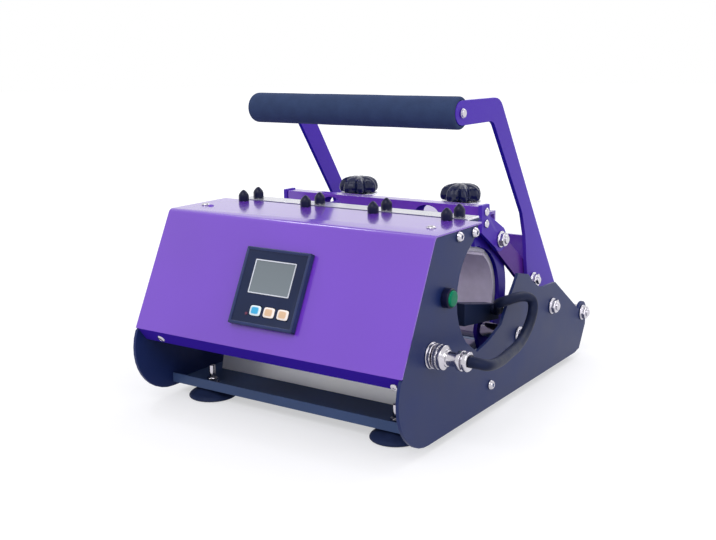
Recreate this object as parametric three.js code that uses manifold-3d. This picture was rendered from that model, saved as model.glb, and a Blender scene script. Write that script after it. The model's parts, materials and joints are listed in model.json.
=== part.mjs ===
// Mug heat press with a swing-back clamp, a toggle linkage and a U-shaped handle.
// Millimetres. +X is the right-hand side, +Y runs from the front to the rear, +Z is up.
// Heights are measured from the table, and Y from the front of the side plates while modelling.
// The finished group is moved so that its origin is the middle of its footprint.

import * as THREE from 'three';
import { mergeVertices } from 'three/addons/utils/BufferGeometryUtils.js';
import Module from 'manifold-3d';

const wasm = await Module();
wasm.setup();

// Driving dimensions of the frame
const WIDTH = 300;
const SIDE_LENGTH = 395;
const SIDE_HEIGHT = 178.8;
const FOOT_CLEARANCE = 7;
const PLATE = 3;
const SHEET = 1.5;
const GAP = 0.3;
const OVERRUN = 4;

// Driving dimensions of the tumbler seat and its layers
const SEAT_SHARES = [0.52152, 0.49888];
const SEAT_RADIUS = 46;
const MAT = 3;
const PAD = 3.7;
const SHELL = 2;
const SPLIT_FRONT_DEG = 284;
const SPLIT_REAR_DEG = -60;
const REAR_TOP_DEG = 58;

// Driving dimensions of the linkage
const HANDLE_PIVOT_SHARES = [0.96962, 0.2377];
const CLAMP_PIVOT_BACK = 15;
const CLAMP_PIVOT_DROP = 33.4;
const EAR_PIN_BACK = 35;
const EAR_PIN_RISE = 55.2;
const TOGGLE_RADIUS = 78;
const STOP_SHARES = [0.75949, 0.37919];
const GRIP_SHARES = [0.40127, 1.52293];
const GRIP_RADIUS = 14.3;
const ARM_INSET = 30.8;
const ARM = 4;
const LINK = 4;
const END_PLATE = 4;
const LAYER_GAP = 0.5;

// Fasteners
const BIG_SHANK = 5;
const BIG_HEAD = 8.3;
const SHOULDER = 8;
const BIG_HEAD_HEIGHT = 6.5;
const SMALL_SHANK = 2;
const SMALL_HEAD = 4.5;
const SMALL_HEAD_HEIGHT = 3.5;
const WASHER = 1.5;

// Places that follow from the driving dimensions
const HALF = WIDTH / 2;
const INNER_X = HALF - PLATE;
const TOP_Z = FOOT_CLEARANCE + SIDE_HEIGHT;
const at = ([alongShare, upShare]) => [SIDE_LENGTH * alongShare, FOOT_CLEARANCE + SIDE_HEIGHT * upShare];
const SEAT = new THREE.Vector2(...at(SEAT_SHARES));
const HANDLE_PIVOT = new THREE.Vector2(...at(HANDLE_PIVOT_SHARES));
const CLAMP_PIVOT = new THREE.Vector2(SEAT.x + CLAMP_PIVOT_BACK, SEAT.y - CLAMP_PIVOT_DROP);
const EAR_PIN = new THREE.Vector2(SEAT.x + EAR_PIN_BACK, SEAT.y + EAR_PIN_RISE);
const ARM_PIN = EAR_PIN.clone().sub(HANDLE_PIVOT).setLength(TOGGLE_RADIUS).add(HANDLE_PIVOT);
const STOP = new THREE.Vector2(...at(STOP_SHARES));
const GRIP = new THREE.Vector2(...at(GRIP_SHARES));
const ARM_OUTER_X = HALF - ARM_INSET;
const ARM_INNER_X = ARM_OUTER_X - ARM;
const LINK_OUTER_X = ARM_INNER_X - LAYER_GAP;
const LINK_INNER_X = LINK_OUTER_X - LINK;
const END_OUTER_X = LINK_INNER_X - LAYER_GAP;
const END_INNER_X = END_OUTER_X - END_PLATE;
const PAD_INNER = SEAT_RADIUS + MAT + GAP;
const SHELL_INNER = PAD_INNER + PAD + GAP;
const SHELL_OUTER = SHELL_INNER + SHELL;
const HALF_SEAT = END_INNER_X - LAYER_GAP;

// Colours
const POWDER_BLACK = 0x2e3350;
const PURPLE = 0x7f5bc8;
const VIOLET = 0x4b2a96;
const CHROME = 0xd8d8dc;
const STEEL = 0xb9bcc2;
const RUBBER = 0x16181f;
const FOAM = 0x37456a;
const MAT_GREY = 0x8a7f95;
const FELT = 0xb4b2b8;

const object = new THREE.Group();

// Helpers: solids

function material(color, roughness, metalness) {
  return new THREE.MeshStandardMaterial({ color, roughness, metalness });
}

function toSolid(geometry) {
  const bare = geometry.clone();
  bare.deleteAttribute('normal');
  bare.deleteAttribute('uv');
  const merged = mergeVertices(bare);
  const vertProperties = new Float32Array(merged.attributes.position.array);
  const triVerts = new Uint32Array(merged.index.array);
  return new wasm.Manifold(new wasm.Mesh({ numProp: 3, vertProperties, triVerts }));
}

function toGeometry(solid) {
  const mesh = solid.getMesh();
  const geometry = new THREE.BufferGeometry();
  geometry.setAttribute('position', new THREE.BufferAttribute(new Float32Array(mesh.vertProperties), 3));
  geometry.setIndex(Array.from(mesh.triVerts));
  return geometry;
}

function cut(geometry, ...tools) {
  let solid = toSolid(geometry);
  for (const tool of tools) solid = solid.subtract(toSolid(tool));
  return toGeometry(solid);
}

function join(first, ...others) {
  let solid = toSolid(first);
  for (const other of others) solid = solid.add(toSolid(other));
  return toGeometry(solid);
}

function add(name, geometry, look) {
  const mesh = new THREE.Mesh(geometry, look);
  mesh.name = name;
  object.add(mesh);
}

// An outline drawn in Y and Z, extruded from x0 to x1.
function slab(shape, x0, x1, curveSegments = 8) {
  const depth = x1 - x0;
  const geometry = new THREE.ExtrudeGeometry(shape, { depth, bevelEnabled: false, curveSegments });
  const basis = new THREE.Matrix4().makeBasis(
    new THREE.Vector3(0, 1, 0),
    new THREE.Vector3(0, 0, 1),
    new THREE.Vector3(1, 0, 0),
  );
  geometry.applyMatrix4(basis);
  geometry.translate(x0, 0, 0);
  return geometry;
}

function outline(points) {
  return new THREE.Shape(points.map(([y, z]) => new THREE.Vector2(y, z)));
}

function box(x0, x1, y0, y1, z0, z1) {
  const geometry = new THREE.BoxGeometry(x1 - x0, y1 - y0, z1 - z0);
  geometry.translate((x0 + x1) / 2, (y0 + y1) / 2, (z0 + z1) / 2);
  return geometry;
}

// A turned piece along X. The profile lists [distance from the axis, x] from one end to the other.
function turned(profile, axis, side, segments = 12) {
  const points = profile.map(([radius, x]) => new THREE.Vector2(radius, x));
  const geometry = new THREE.LatheGeometry(points, segments);
  geometry.rotateZ(-Math.PI / 2);
  if (side < 0) geometry.rotateZ(Math.PI);
  geometry.translate(0, axis.x, axis.y);
  return geometry;
}

function rod(axis, radius, x0, x1, segments = 12) {
  return turned([[0, x0], [radius, x0], [radius, x1], [0, x1]], axis, 1, segments);
}

// A domed bolt head with its washer on a face at x, and a shank that runs inwards to x - length.
function boltProfile(face, shank, length, head, height) {
  const washerTop = face + GAP + WASHER;
  const dome = height / 3;
  return [
    [0, face - length],
    [shank, face - length],
    [shank, face + GAP],
    [head, face + GAP],
    [head, washerTop],
    [head - dome, washerTop],
    [head - dome, washerTop + height - dome],
    [head - dome - dome, washerTop + height],
    [0, washerTop + height],
  ];
}

const SIDES = [['left', -1], ['right', 1]];

// A flat strap with round ends about two centres.
function strap(from, to, fromRadius, toRadius) {
  const heading = Math.atan2(to.y - from.y, to.x - from.x);
  const lean = Math.acos((fromRadius - toRadius) / from.distanceTo(to));
  const shape = new THREE.Shape();
  shape.absarc(from.x, from.y, fromRadius, heading + lean, heading - lean, false);
  shape.absarc(to.x, to.y, toRadius, heading - lean, heading + lean, false);
  return shape;
}

// A round hole whose flats lie on the given radius, so that a shaft of that radius clears them.
function addHole(shape, centre, radius, sides = 12) {
  const corner = radius / Math.cos(Math.PI / sides);
  const points = arcPoints(centre, corner, 360, 360 / sides, sides - 1);
  shape.holes.push(new THREE.Path(points.map(([y, z]) => new THREE.Vector2(y, z))));
}

function arcPoints(centre, radius, fromDeg, toDeg, steps) {
  const points = [];
  for (let i = 0; i <= steps; i += 1) {
    const angle = THREE.MathUtils.degToRad(fromDeg + ((toDeg - fromDeg) * i) / steps);
    points.push([centre.x + radius * Math.cos(angle), centre.y + radius * Math.sin(angle)]);
  }
  return points;
}

// A closed line of [y, z] corners, where a corner with a radius, [y, z, radius], becomes an arc.
function rounded(corners, steps = 4) {
  const toVector = ([y, z]) => new THREE.Vector2(y, z);
  return corners.flatMap(([y, z, radius], i) => {
    if (!radius) return [[y, z]];
    const corner = new THREE.Vector2(y, z);
    const before = toVector(corners[(i + corners.length - 1) % corners.length]).sub(corner).normalize();
    const after = toVector(corners[(i + 1) % corners.length]).sub(corner).normalize();
    const half = Math.acos(before.dot(after)) / 2;
    const centre = before.clone().add(after).setLength(radius / Math.sin(half)).add(corner);
    const reach = radius / Math.tan(half);
    const from = corner.clone().addScaledVector(before, reach).sub(centre).angle();
    const to = corner.clone().addScaledVector(after, reach).sub(centre).angle();
    const turn = THREE.MathUtils.euclideanModulo(to - from + Math.PI, Math.PI * 2) - Math.PI;
    const degrees = THREE.MathUtils.RAD2DEG;
    return arcPoints(centre, radius, from * degrees, (from + turn) * degrees, steps);
  });
}

// Side plates: one outline in shares of the plate's length and height

const COVER_BEND_SHARES = [0.149, 1];
const COVER_TOE_SHARES = [0.0124, 0.393];
const LOBE_SHARES = [0.1215, 0.269];
const LOBE_REACH_SHARES = [0.12152, 0.26846];
const REAR_SHARES = [[0.929, 0], [0.9595, 0.0123], [0.998, 0.15]];
const RIDGE_SHARES = [[0.923, 0.3025], [0.78, 0.51], [0.702, 0.518], [0.672, 0.535], [0.64, 0.575]];
const TOWER_SHARES = [[0.612, 0.6275], [0.5524, 0.6577], [0.532, 0.603], [0.503, 0.534]];
const SILL_SHARES = [[0.4643, 0.4185], [0.4005, 0.3653], [0.3423, 0.339]];
const WINDOW_SHARES = [0.3805, 0.646];
const WINDOW_REACH_SHARES = [0.13797, 0.30481];
const TOP_REAR_SHARES = [0.338, 1];
const BEND = at(COVER_BEND_SHARES);
const TOE = at(COVER_TOE_SHARES);
const EAR_REACH_SHARES = [0.03114, 0.06879];
const BEND_RADIUS = 6;
const SLOPE = new THREE.Vector2(BEND[0] - TOE[0], BEND[1] - TOE[1]).normalize();
const BEND_TURN = Math.PI - SLOPE.angle() - SLOPE.angle();
const OUTWARD = new THREE.Vector2(-SLOPE.y, SLOPE.x);
const COVER_INSET = SHEET + GAP;

const TOP_SCREWS = [new THREE.Vector2(...at([0.247, 0.9638])), new THREE.Vector2(...at([0.3177, 0.961]))];
const LOW_SCREWS = [new THREE.Vector2(...at([0.4076, 0.1232])), new THREE.Vector2(...at([0.5063, 0.2409]))];
const PLATE_SCREWS = [...TOP_SCREWS, ...LOW_SCREWS];

const SOCKET = new THREE.Vector2(...at([0.13165, 0.44183]));
const SOCKET_HOLE = 7;
const BUTTON = new THREE.Vector2(...at([0.19089, 0.69128]));
const BUTTON_HOLE = 6.5;
const INLET = new THREE.Vector2(...at([0.15696, 0.53691]));
const INLET_LONG = 28;
const INLET_HIGH = 20;
const INLET_SIZE = new THREE.Vector2(INLET_LONG, INLET_HIGH);
const ROCKER = new THREE.Vector2(...at([0.19241, 0.75503]));
const ROCKER_LONG = 20;
const ROCKER_HIGH = 14;
const ROCKER_SIZE = new THREE.Vector2(ROCKER_LONG, ROCKER_HIGH);

// An arc about a centre, both given in shares of the plate's length and height
function arcShares(centre, reach, fromDeg, toDeg, steps) {
  const unit = arcPoints(new THREE.Vector2(), 1, fromDeg, toDeg, steps);
  return unit.map(([y, z]) => at([centre[0] + reach[0] * y, centre[1] + reach[1] * z]));
}

function sidePlate(side) {
  const insetTop = TOP_Z - COVER_INSET;
  const bend = [BEND[0] + COVER_INSET * Math.tan(Math.PI / 4 - BEND_TURN / 4), insetTop];
  const toe = [TOE[0] - OUTWARD.x * COVER_INSET, TOE[1] - OUTWARD.y * COVER_INSET];
  const topRear = at(TOP_REAR_SHARES)[0];
  const points = rounded([
    [...bend, BEND_RADIUS - COVER_INSET],
    toe,
    ...arcShares(LOBE_SHARES, LOBE_REACH_SHARES, 156, 270, 12),
    ...REAR_SHARES.map(at),
    ...arcShares(HANDLE_PIVOT_SHARES, EAR_REACH_SHARES, -8, 150, 8),
    ...RIDGE_SHARES.map(at),
    ...TOWER_SHARES.map(at),
    ...SILL_SHARES.map(at),
    ...arcShares(WINDOW_SHARES, WINDOW_REACH_SHARES, 241, 118, 10),
    [topRear, insetTop - WASHER - WASHER],
    [topRear - WASHER, insetTop],
  ]);
  const shape = outline(points);
  addHole(shape, HANDLE_PIVOT, BIG_SHANK + GAP);
  addHole(shape, CLAMP_PIVOT, BIG_SHANK + GAP);
  addHole(shape, STOP, BIG_SHANK + GAP);
  for (const screw of PLATE_SCREWS) addHole(shape, screw, SMALL_SHANK + GAP);
  if (side > 0) {
    addHole(shape, SOCKET, SOCKET_HOLE + GAP);
    addHole(shape, BUTTON, BUTTON_HOLE + GAP);
  } else {
    shape.holes.push(rectanglePath(INLET, INLET_SIZE, GAP));
    shape.holes.push(rectanglePath(ROCKER, ROCKER_SIZE, GAP));
  }
  return side > 0 ? slab(shape, INNER_X, HALF, 5) : slab(shape, -HALF, -INNER_X, 5);
}

function rectanglePath(centre, size, grow) {
  const y = size.x / 2 + grow;
  const z = size.y / 2 + grow;
  const corners = [[-y, -z], [-y, z], [y, z], [y, -z]];
  return new THREE.Path(corners.map(([a, b]) => new THREE.Vector2(centre.x + a, centre.y + b)));
}

add('side_plate_left', sidePlate(-1), material(POWDER_BLACK, 0.45, 0.2));
add('side_plate_right', sidePlate(1), material(POWDER_BLACK, 0.45, 0.2));

// A small screw with its washer, through the side plate and fixed in the tab behind it
function plateScrew(axis, side) {
  const low = HALF + GAP;
  const top = low + SMALL_HEAD_HEIGHT;
  const profile = [[0, INNER_X - GAP - SHEET], [SMALL_SHANK, INNER_X - GAP - SHEET], [SMALL_SHANK, low],
    [SMALL_HEAD, low], [SMALL_HEAD, low + WASHER], [SMALL_HEAD / 2, top], [0, top]];
  return turned(profile, axis, side, 10);
}

// Base pan with turned-up lips, and tabs that the low plate screws hold

const PAN_FRONT = SIDE_LENGTH * 0.12152;
const PAN_REAR_INSET = 18;
const PAN_FLOOR_Z = 11.5;
const PAN_LIP = 9.5;
const TAB_DEPTH_Y = 30;
const FOOT_INSET_X = 42.3;
const FOOT_X = HALF - FOOT_INSET_X;
const FOOT_FRONT_Y = SIDE_LENGTH * 0.16152;
const FOOT_REAR_Y = SIDE_LENGTH * 0.8481;
const FOOT_RADIUS = 24;
const FOOT_RIM = 6;
const FOOT_NECK = 9;
const FOOT_STUD = 3;
const FOOT_STUD_RISE = 19;
const PAN_X = INNER_X - GAP;
const PAN_REAR = SIDE_LENGTH - PAN_REAR_INSET;
const PAN_TOP_Z = PAN_FLOOR_Z + SHEET;
const FEET = [
  ['foot_front_left', -FOOT_X, FOOT_FRONT_Y],
  ['foot_front_right', FOOT_X, FOOT_FRONT_Y],
  ['foot_rear_left', -FOOT_X, FOOT_REAR_Y],
  ['foot_rear_right', FOOT_X, FOOT_REAR_Y],
];

function upright(radius, x, y, z0, z1, segments = 12) {
  const geometry = new THREE.CylinderGeometry(radius, radius, z1 - z0, segments);
  geometry.rotateX(Math.PI / 2);
  geometry.translate(x, y, (z0 + z1) / 2);
  return geometry;
}

function basePan() {
  const tray = outline([
    [PAN_FRONT, PAN_FLOOR_Z],
    [PAN_REAR, PAN_FLOOR_Z],
    [PAN_REAR, PAN_FLOOR_Z + PAN_LIP],
    [PAN_REAR - SHEET, PAN_FLOOR_Z + PAN_LIP],
    [PAN_REAR - SHEET, PAN_TOP_Z],
    [PAN_FRONT + SHEET, PAN_TOP_Z],
    [PAN_FRONT + SHEET, PAN_FLOOR_Z + PAN_LIP],
    [PAN_FRONT, PAN_FLOOR_Z + PAN_LIP],
  ]);
  const pieces = [slab(tray, -PAN_X, PAN_X)];
  const tabFrom = LOW_SCREWS[0].x - TAB_DEPTH_Y / 2;
  const tabTo = LOW_SCREWS[1].x + TAB_DEPTH_Y / 4;
  const tabTop = LOW_SCREWS[1].y + SMALL_HEAD + WASHER;
  for (const side of [1, -1]) {
    const tab = outline([
      [tabFrom, PAN_FLOOR_Z],
      [tabTo, PAN_FLOOR_Z],
      [tabTo, tabTop],
      [tabTo - TAB_DEPTH_Y / 2, tabTop],
      [tabFrom, LOW_SCREWS[0].y + SMALL_HEAD + WASHER],
    ]);
    const inside = PAN_X - SHEET;
    pieces.push(side > 0 ? slab(tab, inside, PAN_X) : slab(tab, -PAN_X, -inside));
    pieces.push(...LOW_SCREWS.map((axis) => plateScrew(axis, side)));
  }
  const holes = FEET.map(([, x, y]) => upright(
    FOOT_STUD + GAP, x, y, PAN_FLOOR_Z - OVERRUN, PAN_TOP_Z + OVERRUN,
  ));
  return cut(join(...pieces), ...holes);
}

add('base_pan', basePan(), material(POWDER_BLACK, 0.45, 0.2));

// Rubber cup feet, each with its steel stud standing through the pan

function foot(x, y) {
  const under = PAN_FLOOR_Z - GAP;
  const rim = under / 5;
  const profile = [
    [0, rim],
    [FOOT_RADIUS - FOOT_RIM - rim, rim],
    [FOOT_RADIUS - FOOT_RIM, 0],
    [FOOT_RADIUS - rim / 2, 0],
    [FOOT_RADIUS, rim / 2],
    [FOOT_RADIUS - rim, under / 2],
    [FOOT_NECK, under],
    [FOOT_STUD, under],
    [FOOT_STUD, PAN_TOP_Z + FOOT_STUD_RISE],
    [0, PAN_TOP_Z + FOOT_STUD_RISE],
  ];
  const geometry = new THREE.LatheGeometry(profile.map(([r, z]) => new THREE.Vector2(r, z)), 16);
  geometry.rotateX(Math.PI / 2);
  geometry.translate(x, y, 0);
  return geometry;
}

for (const [name, x, y] of FEET) add(name, foot(x, y), material(RUBBER, 0.6, 0));

// Front cover: one bent sheet with a cut-out for the controller and a return flange at the toe

const COVER_REAR_Y = SIDE_LENGTH * 0.35696;
const FLANGE_BACK = 10;
const FLANGE_DROP = 13;
const CONTROLLER_SIZE = 72;
const CONTROLLER_RISE = 6;
const CONTROLLER_LOW = 20.6;
const CASE_SIZE = 66;
const CASE_DEPTH = 40;

function coverSheet() {
  const inward = SHEET / SLOPE.y;
  const innerBend = BEND[0] + SHEET * Math.tan(Math.PI / 4 - BEND_TURN / 4);
  const sheet = outline(rounded([
    [COVER_REAR_Y, TOP_Z],
    [...BEND, BEND_RADIUS],
    TOE,
    [TOE[0] + inward, TOE[1]],
    [innerBend, TOP_Z - SHEET, BEND_RADIUS - SHEET],
    [COVER_REAR_Y, TOP_Z - SHEET],
  ]));
  const flangeTip = [TOE[0] + FLANGE_BACK, TOE[1] - FLANGE_DROP];
  const flange = outline([
    TOE,
    flangeTip,
    [flangeTip[0] + SHEET, flangeTip[1] + SHEET],
    [TOE[0] + inward + SLOPE.x * SHEET, TOE[1] + SLOPE.y * SHEET],
  ]);
  return join(slab(sheet, -HALF, HALF), slab(flange, -PAN_X, PAN_X));
}

// A block in the slope's own axes: across in X, along the slope from the toe, out from its face.
function onSlope(x0, x1, along0, along1, out0, out1) {
  const geometry = box(x0, x1, along0, along1, out0, out1);
  const basis = new THREE.Matrix4().makeBasis(
    new THREE.Vector3(1, 0, 0),
    new THREE.Vector3(0, SLOPE.x, SLOPE.y),
    new THREE.Vector3(0, OUTWARD.x, OUTWARD.y),
  );
  geometry.applyMatrix4(basis);
  geometry.translate(0, TOE[0], TOE[1]);
  return geometry;
}

const CONTROLLER_MID = CONTROLLER_LOW + CONTROLLER_SIZE / 2;
const HALF_CASE = CASE_SIZE / 2;
const COVER_CUTOUT = onSlope(-HALF_CASE - GAP, HALF_CASE + GAP,
  CONTROLLER_MID - HALF_CASE - GAP, CONTROLLER_MID + HALF_CASE + GAP, -OVERRUN, OVERRUN);

// Pointed cap nuts, each on its own stud, in two rows over the mat's edge
const CAP_ROW_FRONT_Y = SIDE_LENGTH * 0.33797;
const CAP_ROW_BACK_Y = SIDE_LENGTH * 0.39747;
const CAP_PITCH = WIDTH * 0.26333;
const CAP_RADIUS = 4.9;
const CAP_HEIGHT = 11;
const CAP_PLACES = [-1.5, -0.5, 0.5, 1.5];
const COVER_SCREW_X = WIDTH * 0.42;
const COVER_SCREW_Y = SIDE_LENGTH * 0.23291;

function standing(profile, x, y, z, segments) {
  const geometry = new THREE.LatheGeometry(profile.map(([r, h]) => new THREE.Vector2(r, h)), segments);
  geometry.rotateX(Math.PI / 2);
  geometry.translate(x, y, z);
  return geometry;
}

function capNut(x, y, z) {
  const profile = [[0, -SHEET / 2], [CAP_RADIUS, -SHEET / 2], [CAP_RADIUS, CAP_HEIGHT / 2],
    [CAP_RADIUS / 2, CAP_HEIGHT - WASHER], [0, CAP_HEIGHT]];
  return standing(profile, x, y, z, 10);
}

function coverScrew(x) {
  const head = SMALL_HEAD - WASHER;
  const profile = [[0, -SHEET / 2], [head, -SHEET / 2], [head, WASHER / 2], [head / 2, WASHER], [0, WASHER]];
  return standing(profile, x, COVER_SCREW_Y, TOP_Z, 12);
}

function frontCover() {
  const sheet = cut(coverSheet(), COVER_CUTOUT);
  const nuts = CAP_PLACES.map((place) => capNut(place * CAP_PITCH, CAP_ROW_FRONT_Y, TOP_Z));
  return join(sheet, ...nuts, coverScrew(COVER_SCREW_X), coverScrew(-COVER_SCREW_X));
}

add('front_cover', frontCover(), material(PURPLE, 0.25, 0.1));

// Controller: bezel with its case, screen and three keys

const BEZEL_RIM = 2.6;
const BEZEL_DISH = 0.8;
const SCREEN_LONG = 46;
const SCREEN_HIGH = 31.6;
const SCREEN_SIZE = new THREE.Vector2(SCREEN_LONG, SCREEN_HIGH);
const SCREEN_ALONG = 29.6;
const SCREEN_DEEP = 1;
const KEY_LONG = 12;
const KEY_HIGH = 9.2;
const KEY_SIZE = new THREE.Vector2(KEY_LONG, KEY_HIGH);
const KEY_ALONG = 9.8;
const KEY_PITCH = 15.4;
const KEY_SHIFT = 6.4;
const KEY_PROUD = 1.2;
const KEY_WELL = 2.4;
const KEYS = [['key_left', -1, 0x2fa3db], ['key_middle', 0, 0xd98e5f], ['key_right', 1, 0xd98e5f]];

function controllerBezel() {
  const half = CONTROLLER_SIZE / 2;
  const face = CONTROLLER_RISE;
  const front = onSlope(-half, half, CONTROLLER_LOW, CONTROLLER_LOW + CONTROLLER_SIZE, GAP, face);
  const screenLow = CONTROLLER_LOW + SCREEN_ALONG;
  const dish = onSlope(BEZEL_RIM - half, half - BEZEL_RIM, CONTROLLER_LOW + BEZEL_RIM,
    CONTROLLER_LOW + CONTROLLER_SIZE - BEZEL_RIM, face - BEZEL_DISH, face + OVERRUN);
  const wells = [dish, onSlope(-SCREEN_SIZE.x / 2, SCREEN_SIZE.x / 2, screenLow, screenLow + SCREEN_SIZE.y,
    face - SCREEN_DEEP - SHEET, face + OVERRUN)];
  for (const [, place] of KEYS) {
    const x = KEY_SHIFT + place * KEY_PITCH;
    wells.push(onSlope(x - KEY_SIZE.x / 2 - GAP, x + KEY_SIZE.x / 2 + GAP,
      CONTROLLER_LOW + KEY_ALONG - GAP, CONTROLLER_LOW + KEY_ALONG + KEY_SIZE.y + GAP,
      face - KEY_WELL, face + OVERRUN));
  }
  return cut(front, ...wells);
}

function controllerCase() {
  const low = CONTROLLER_MID - HALF_CASE;
  return onSlope(-HALF_CASE, HALF_CASE, low, low + CASE_SIZE, -CASE_DEPTH, 0);
}

function screenPane() {
  const low = CONTROLLER_LOW + SCREEN_ALONG + GAP;
  const top = CONTROLLER_RISE - SCREEN_DEEP;
  return onSlope(GAP - SCREEN_SIZE.x / 2, SCREEN_SIZE.x / 2 - GAP, low,
    low + SCREEN_SIZE.y - GAP - GAP, top - SHEET + GAP, top);
}

function key(place) {
  const x = KEY_SHIFT + place * KEY_PITCH;
  const low = CONTROLLER_LOW + KEY_ALONG;
  return onSlope(x - KEY_SIZE.x / 2, x + KEY_SIZE.x / 2, low, low + KEY_SIZE.y,
    CONTROLLER_RISE - KEY_PROUD, CONTROLLER_RISE + GAP);
}

add('controller_bezel', controllerBezel(), material(0x1b1c24, 0.5, 0));
add('controller_case', controllerCase(), material(RUBBER, 0.6, 0));
add('controller_screen', screenPane(), material(0x84909a, 0.2, 0));
for (const [name, place, color] of KEYS) add(name, key(place), material(color, 0.4, 0));

// Heat shield: the upright steel wall behind the housing

const SHIELD_Y = SIDE_LENGTH * 0.28608;
const SHIELD_KICK = 10;
const SHIELD_BEND_Z = SEAT.y - SEAT_RADIUS + OVERRUN;
const SHIELD_TOP_DROP = 6;
const SHIELD_INSET = 20;
const SHIELD_X = HALF - SHIELD_INSET;
const SHIELD = [
  [SHIELD_Y - SHIELD_KICK, PAN_TOP_Z + GAP],
  [SHIELD_Y - SHIELD_KICK + SHEET, PAN_TOP_Z + GAP],
  [SHIELD_Y + SHEET, SHIELD_BEND_Z],
  [SHIELD_Y + SHEET, TOP_Z - SHIELD_TOP_DROP],
  [SHIELD_Y, TOP_Z - SHIELD_TOP_DROP],
  [SHIELD_Y, SHIELD_BEND_Z],
];

// Top frame: a flat sheet under the cover's rear edge, with end tabs that the top screws hold

const FRAME_FRONT = SIDE_LENGTH * 0.22785;
const FRAME_REAR = SIDE_LENGTH * 0.42532;
const FRAME_SHEET = 1.7;
const FRAME_TOP_Z = TOP_Z - SHEET - GAP;
const FRAME_LOW_Z = FRAME_TOP_Z - FRAME_SHEET;
const FRAME_TAB_DROP = 12;
const STRIP_X = WIDTH * 0.44333;

function topFrame() {
  const flat = box(-PAN_X, PAN_X, FRAME_FRONT, COVER_REAR_Y, FRAME_LOW_Z, FRAME_TOP_Z);
  const tongueX = STRIP_X + WASHER;
  const tongue = box(-tongueX, tongueX, COVER_REAR_Y - OVERRUN, FRAME_REAR, FRAME_LOW_Z, FRAME_TOP_Z);
  const pieces = [flat, tongue];
  const tabRear = at(TOP_REAR_SHARES)[0] - WASHER;
  for (const side of [1, -1]) {
    const tab = outline([
      [FRAME_FRONT, FRAME_LOW_Z - FRAME_TAB_DROP],
      [tabRear, FRAME_LOW_Z - FRAME_TAB_DROP],
      [tabRear, FRAME_LOW_Z + GAP],
      [FRAME_FRONT, FRAME_LOW_Z + GAP],
    ]);
    const inside = PAN_X - SHEET;
    pieces.push(side > 0 ? slab(tab, inside, PAN_X) : slab(tab, -PAN_X, -inside));
    pieces.push(...TOP_SCREWS.map((axis) => plateScrew(axis, side)));
  }
  return join(...pieces);
}

add('heat_shield', slab(outline(SHIELD), -SHIELD_X, SHIELD_X), material(STEEL, 0.35, 0.9));
add('top_frame', topFrame(), material(POWDER_BLACK, 0.45, 0.2));

// Fixed half of the seat: each layer runs up the front wall, then round under the tumbler

const LAYER_TOP_Z = FRAME_LOW_Z - GAP;

function frontLayer(inner, outer) {
  const wall = [
    ...arcPoints(SEAT, inner, SPLIT_FRONT_DEG, 180, 14),
    [SEAT.x - inner, LAYER_TOP_Z],
    [SEAT.x - outer, LAYER_TOP_Z],
    ...arcPoints(SEAT, outer, 180, SPLIT_FRONT_DEG, 14),
  ];
  return slab(outline(wall), -HALF_SEAT, HALF_SEAT);
}

function rearLayer(inner, outer) {
  const wall = [
    ...arcPoints(SEAT, inner, SPLIT_REAR_DEG, REAR_TOP_DEG, 16),
    ...arcPoints(SEAT, outer, REAR_TOP_DEG, SPLIT_REAR_DEG, 16),
  ];
  return slab(outline(wall), -HALF_SEAT, HALF_SEAT);
}

add('seat_shell_front', frontLayer(SHELL_INNER, SHELL_OUTER), material(STEEL, 0.35, 0.9));
add('insulation_front', frontLayer(PAD_INNER, PAD_INNER + PAD), material(FELT, 0.95, 0));
add('heating_mat_front', frontLayer(SEAT_RADIUS, SEAT_RADIUS + MAT), material(MAT_GREY, 0.7, 0));

// Mat strip with the back row of cap nuts, which hold the mat's edge

const STRIP_FRONT = SIDE_LENGTH * 0.36962;
const STRIP = 1.8;

function matStrip() {
  const low = FRAME_TOP_Z + GAP;
  const top = low + STRIP;
  const nuts = CAP_PLACES.map((place) => capNut(place * CAP_PITCH, CAP_ROW_BACK_Y, top));
  return join(box(-STRIP_X, STRIP_X, STRIP_FRONT, FRAME_REAR, low, top), ...nuts);
}

add('mat_strip', matStrip(), material(CHROME, 0.25, 1));

// Push button and heater socket on the right plate; inlet and rocker on the left

const BUTTON_BEZEL = 8.7;
const BUTTON_RADIUS = 7.1;
const BUTTON_RISE = 6.8;
const BUTTON_OUT = 8.9;
const BUTTON_TRAVEL = 2.5;
const BUTTON_BODY = 18;

function buttonBezel() {
  const face = HALF + GAP;
  const floor = face + BUTTON_RISE - BUTTON_TRAVEL - WASHER;
  const well = BUTTON_RADIUS + GAP;
  const profile = [
    [0, HALF - BUTTON_BODY],
    [BUTTON_HOLE, HALF - BUTTON_BODY],
    [BUTTON_HOLE, face],
    [BUTTON_BEZEL, face],
    [BUTTON_BEZEL, face + BUTTON_RISE],
    [well, face + BUTTON_RISE],
    [well, floor - GAP],
    [0, floor - GAP],
  ];
  return turned(profile, BUTTON, 1, 20);
}

function buttonCap() {
  const low = HALF + GAP + BUTTON_RISE - WASHER;
  const top = HALF + BUTTON_OUT;
  const profile = [[0, low], [BUTTON_RADIUS, low], [BUTTON_RADIUS, top - WASHER], [BUTTON_RADIUS - WASHER, top],
    [0, top]];
  return turned(profile, BUTTON, 1, 20);
}

add('button_bezel', buttonBezel(), material(RUBBER, 0.4, 0));
add('button_cap', buttonCap(), material(0x008a5a, 0.3, 0));

const SOCKET_NUT = 11.5;
const SOCKET_NUT_THICK = 4;
const SOCKET_BODY = 16;
const PLUG_RING = 10.8;
const PLUG_BARREL = 6.2;
const PLUG_NECK = 8.6;
const LEAD_RADIUS = 4.8;
const PLUG_STEPS = [4.5, 9, 11, 22, 26, 27.5, 32];
const SOCKET_FACE = HALF + GAP + SOCKET_NUT_THICK;
const PLUG_START = SOCKET_FACE + GAP;
const PLUG_END = PLUG_START + PLUG_STEPS[6];

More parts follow.
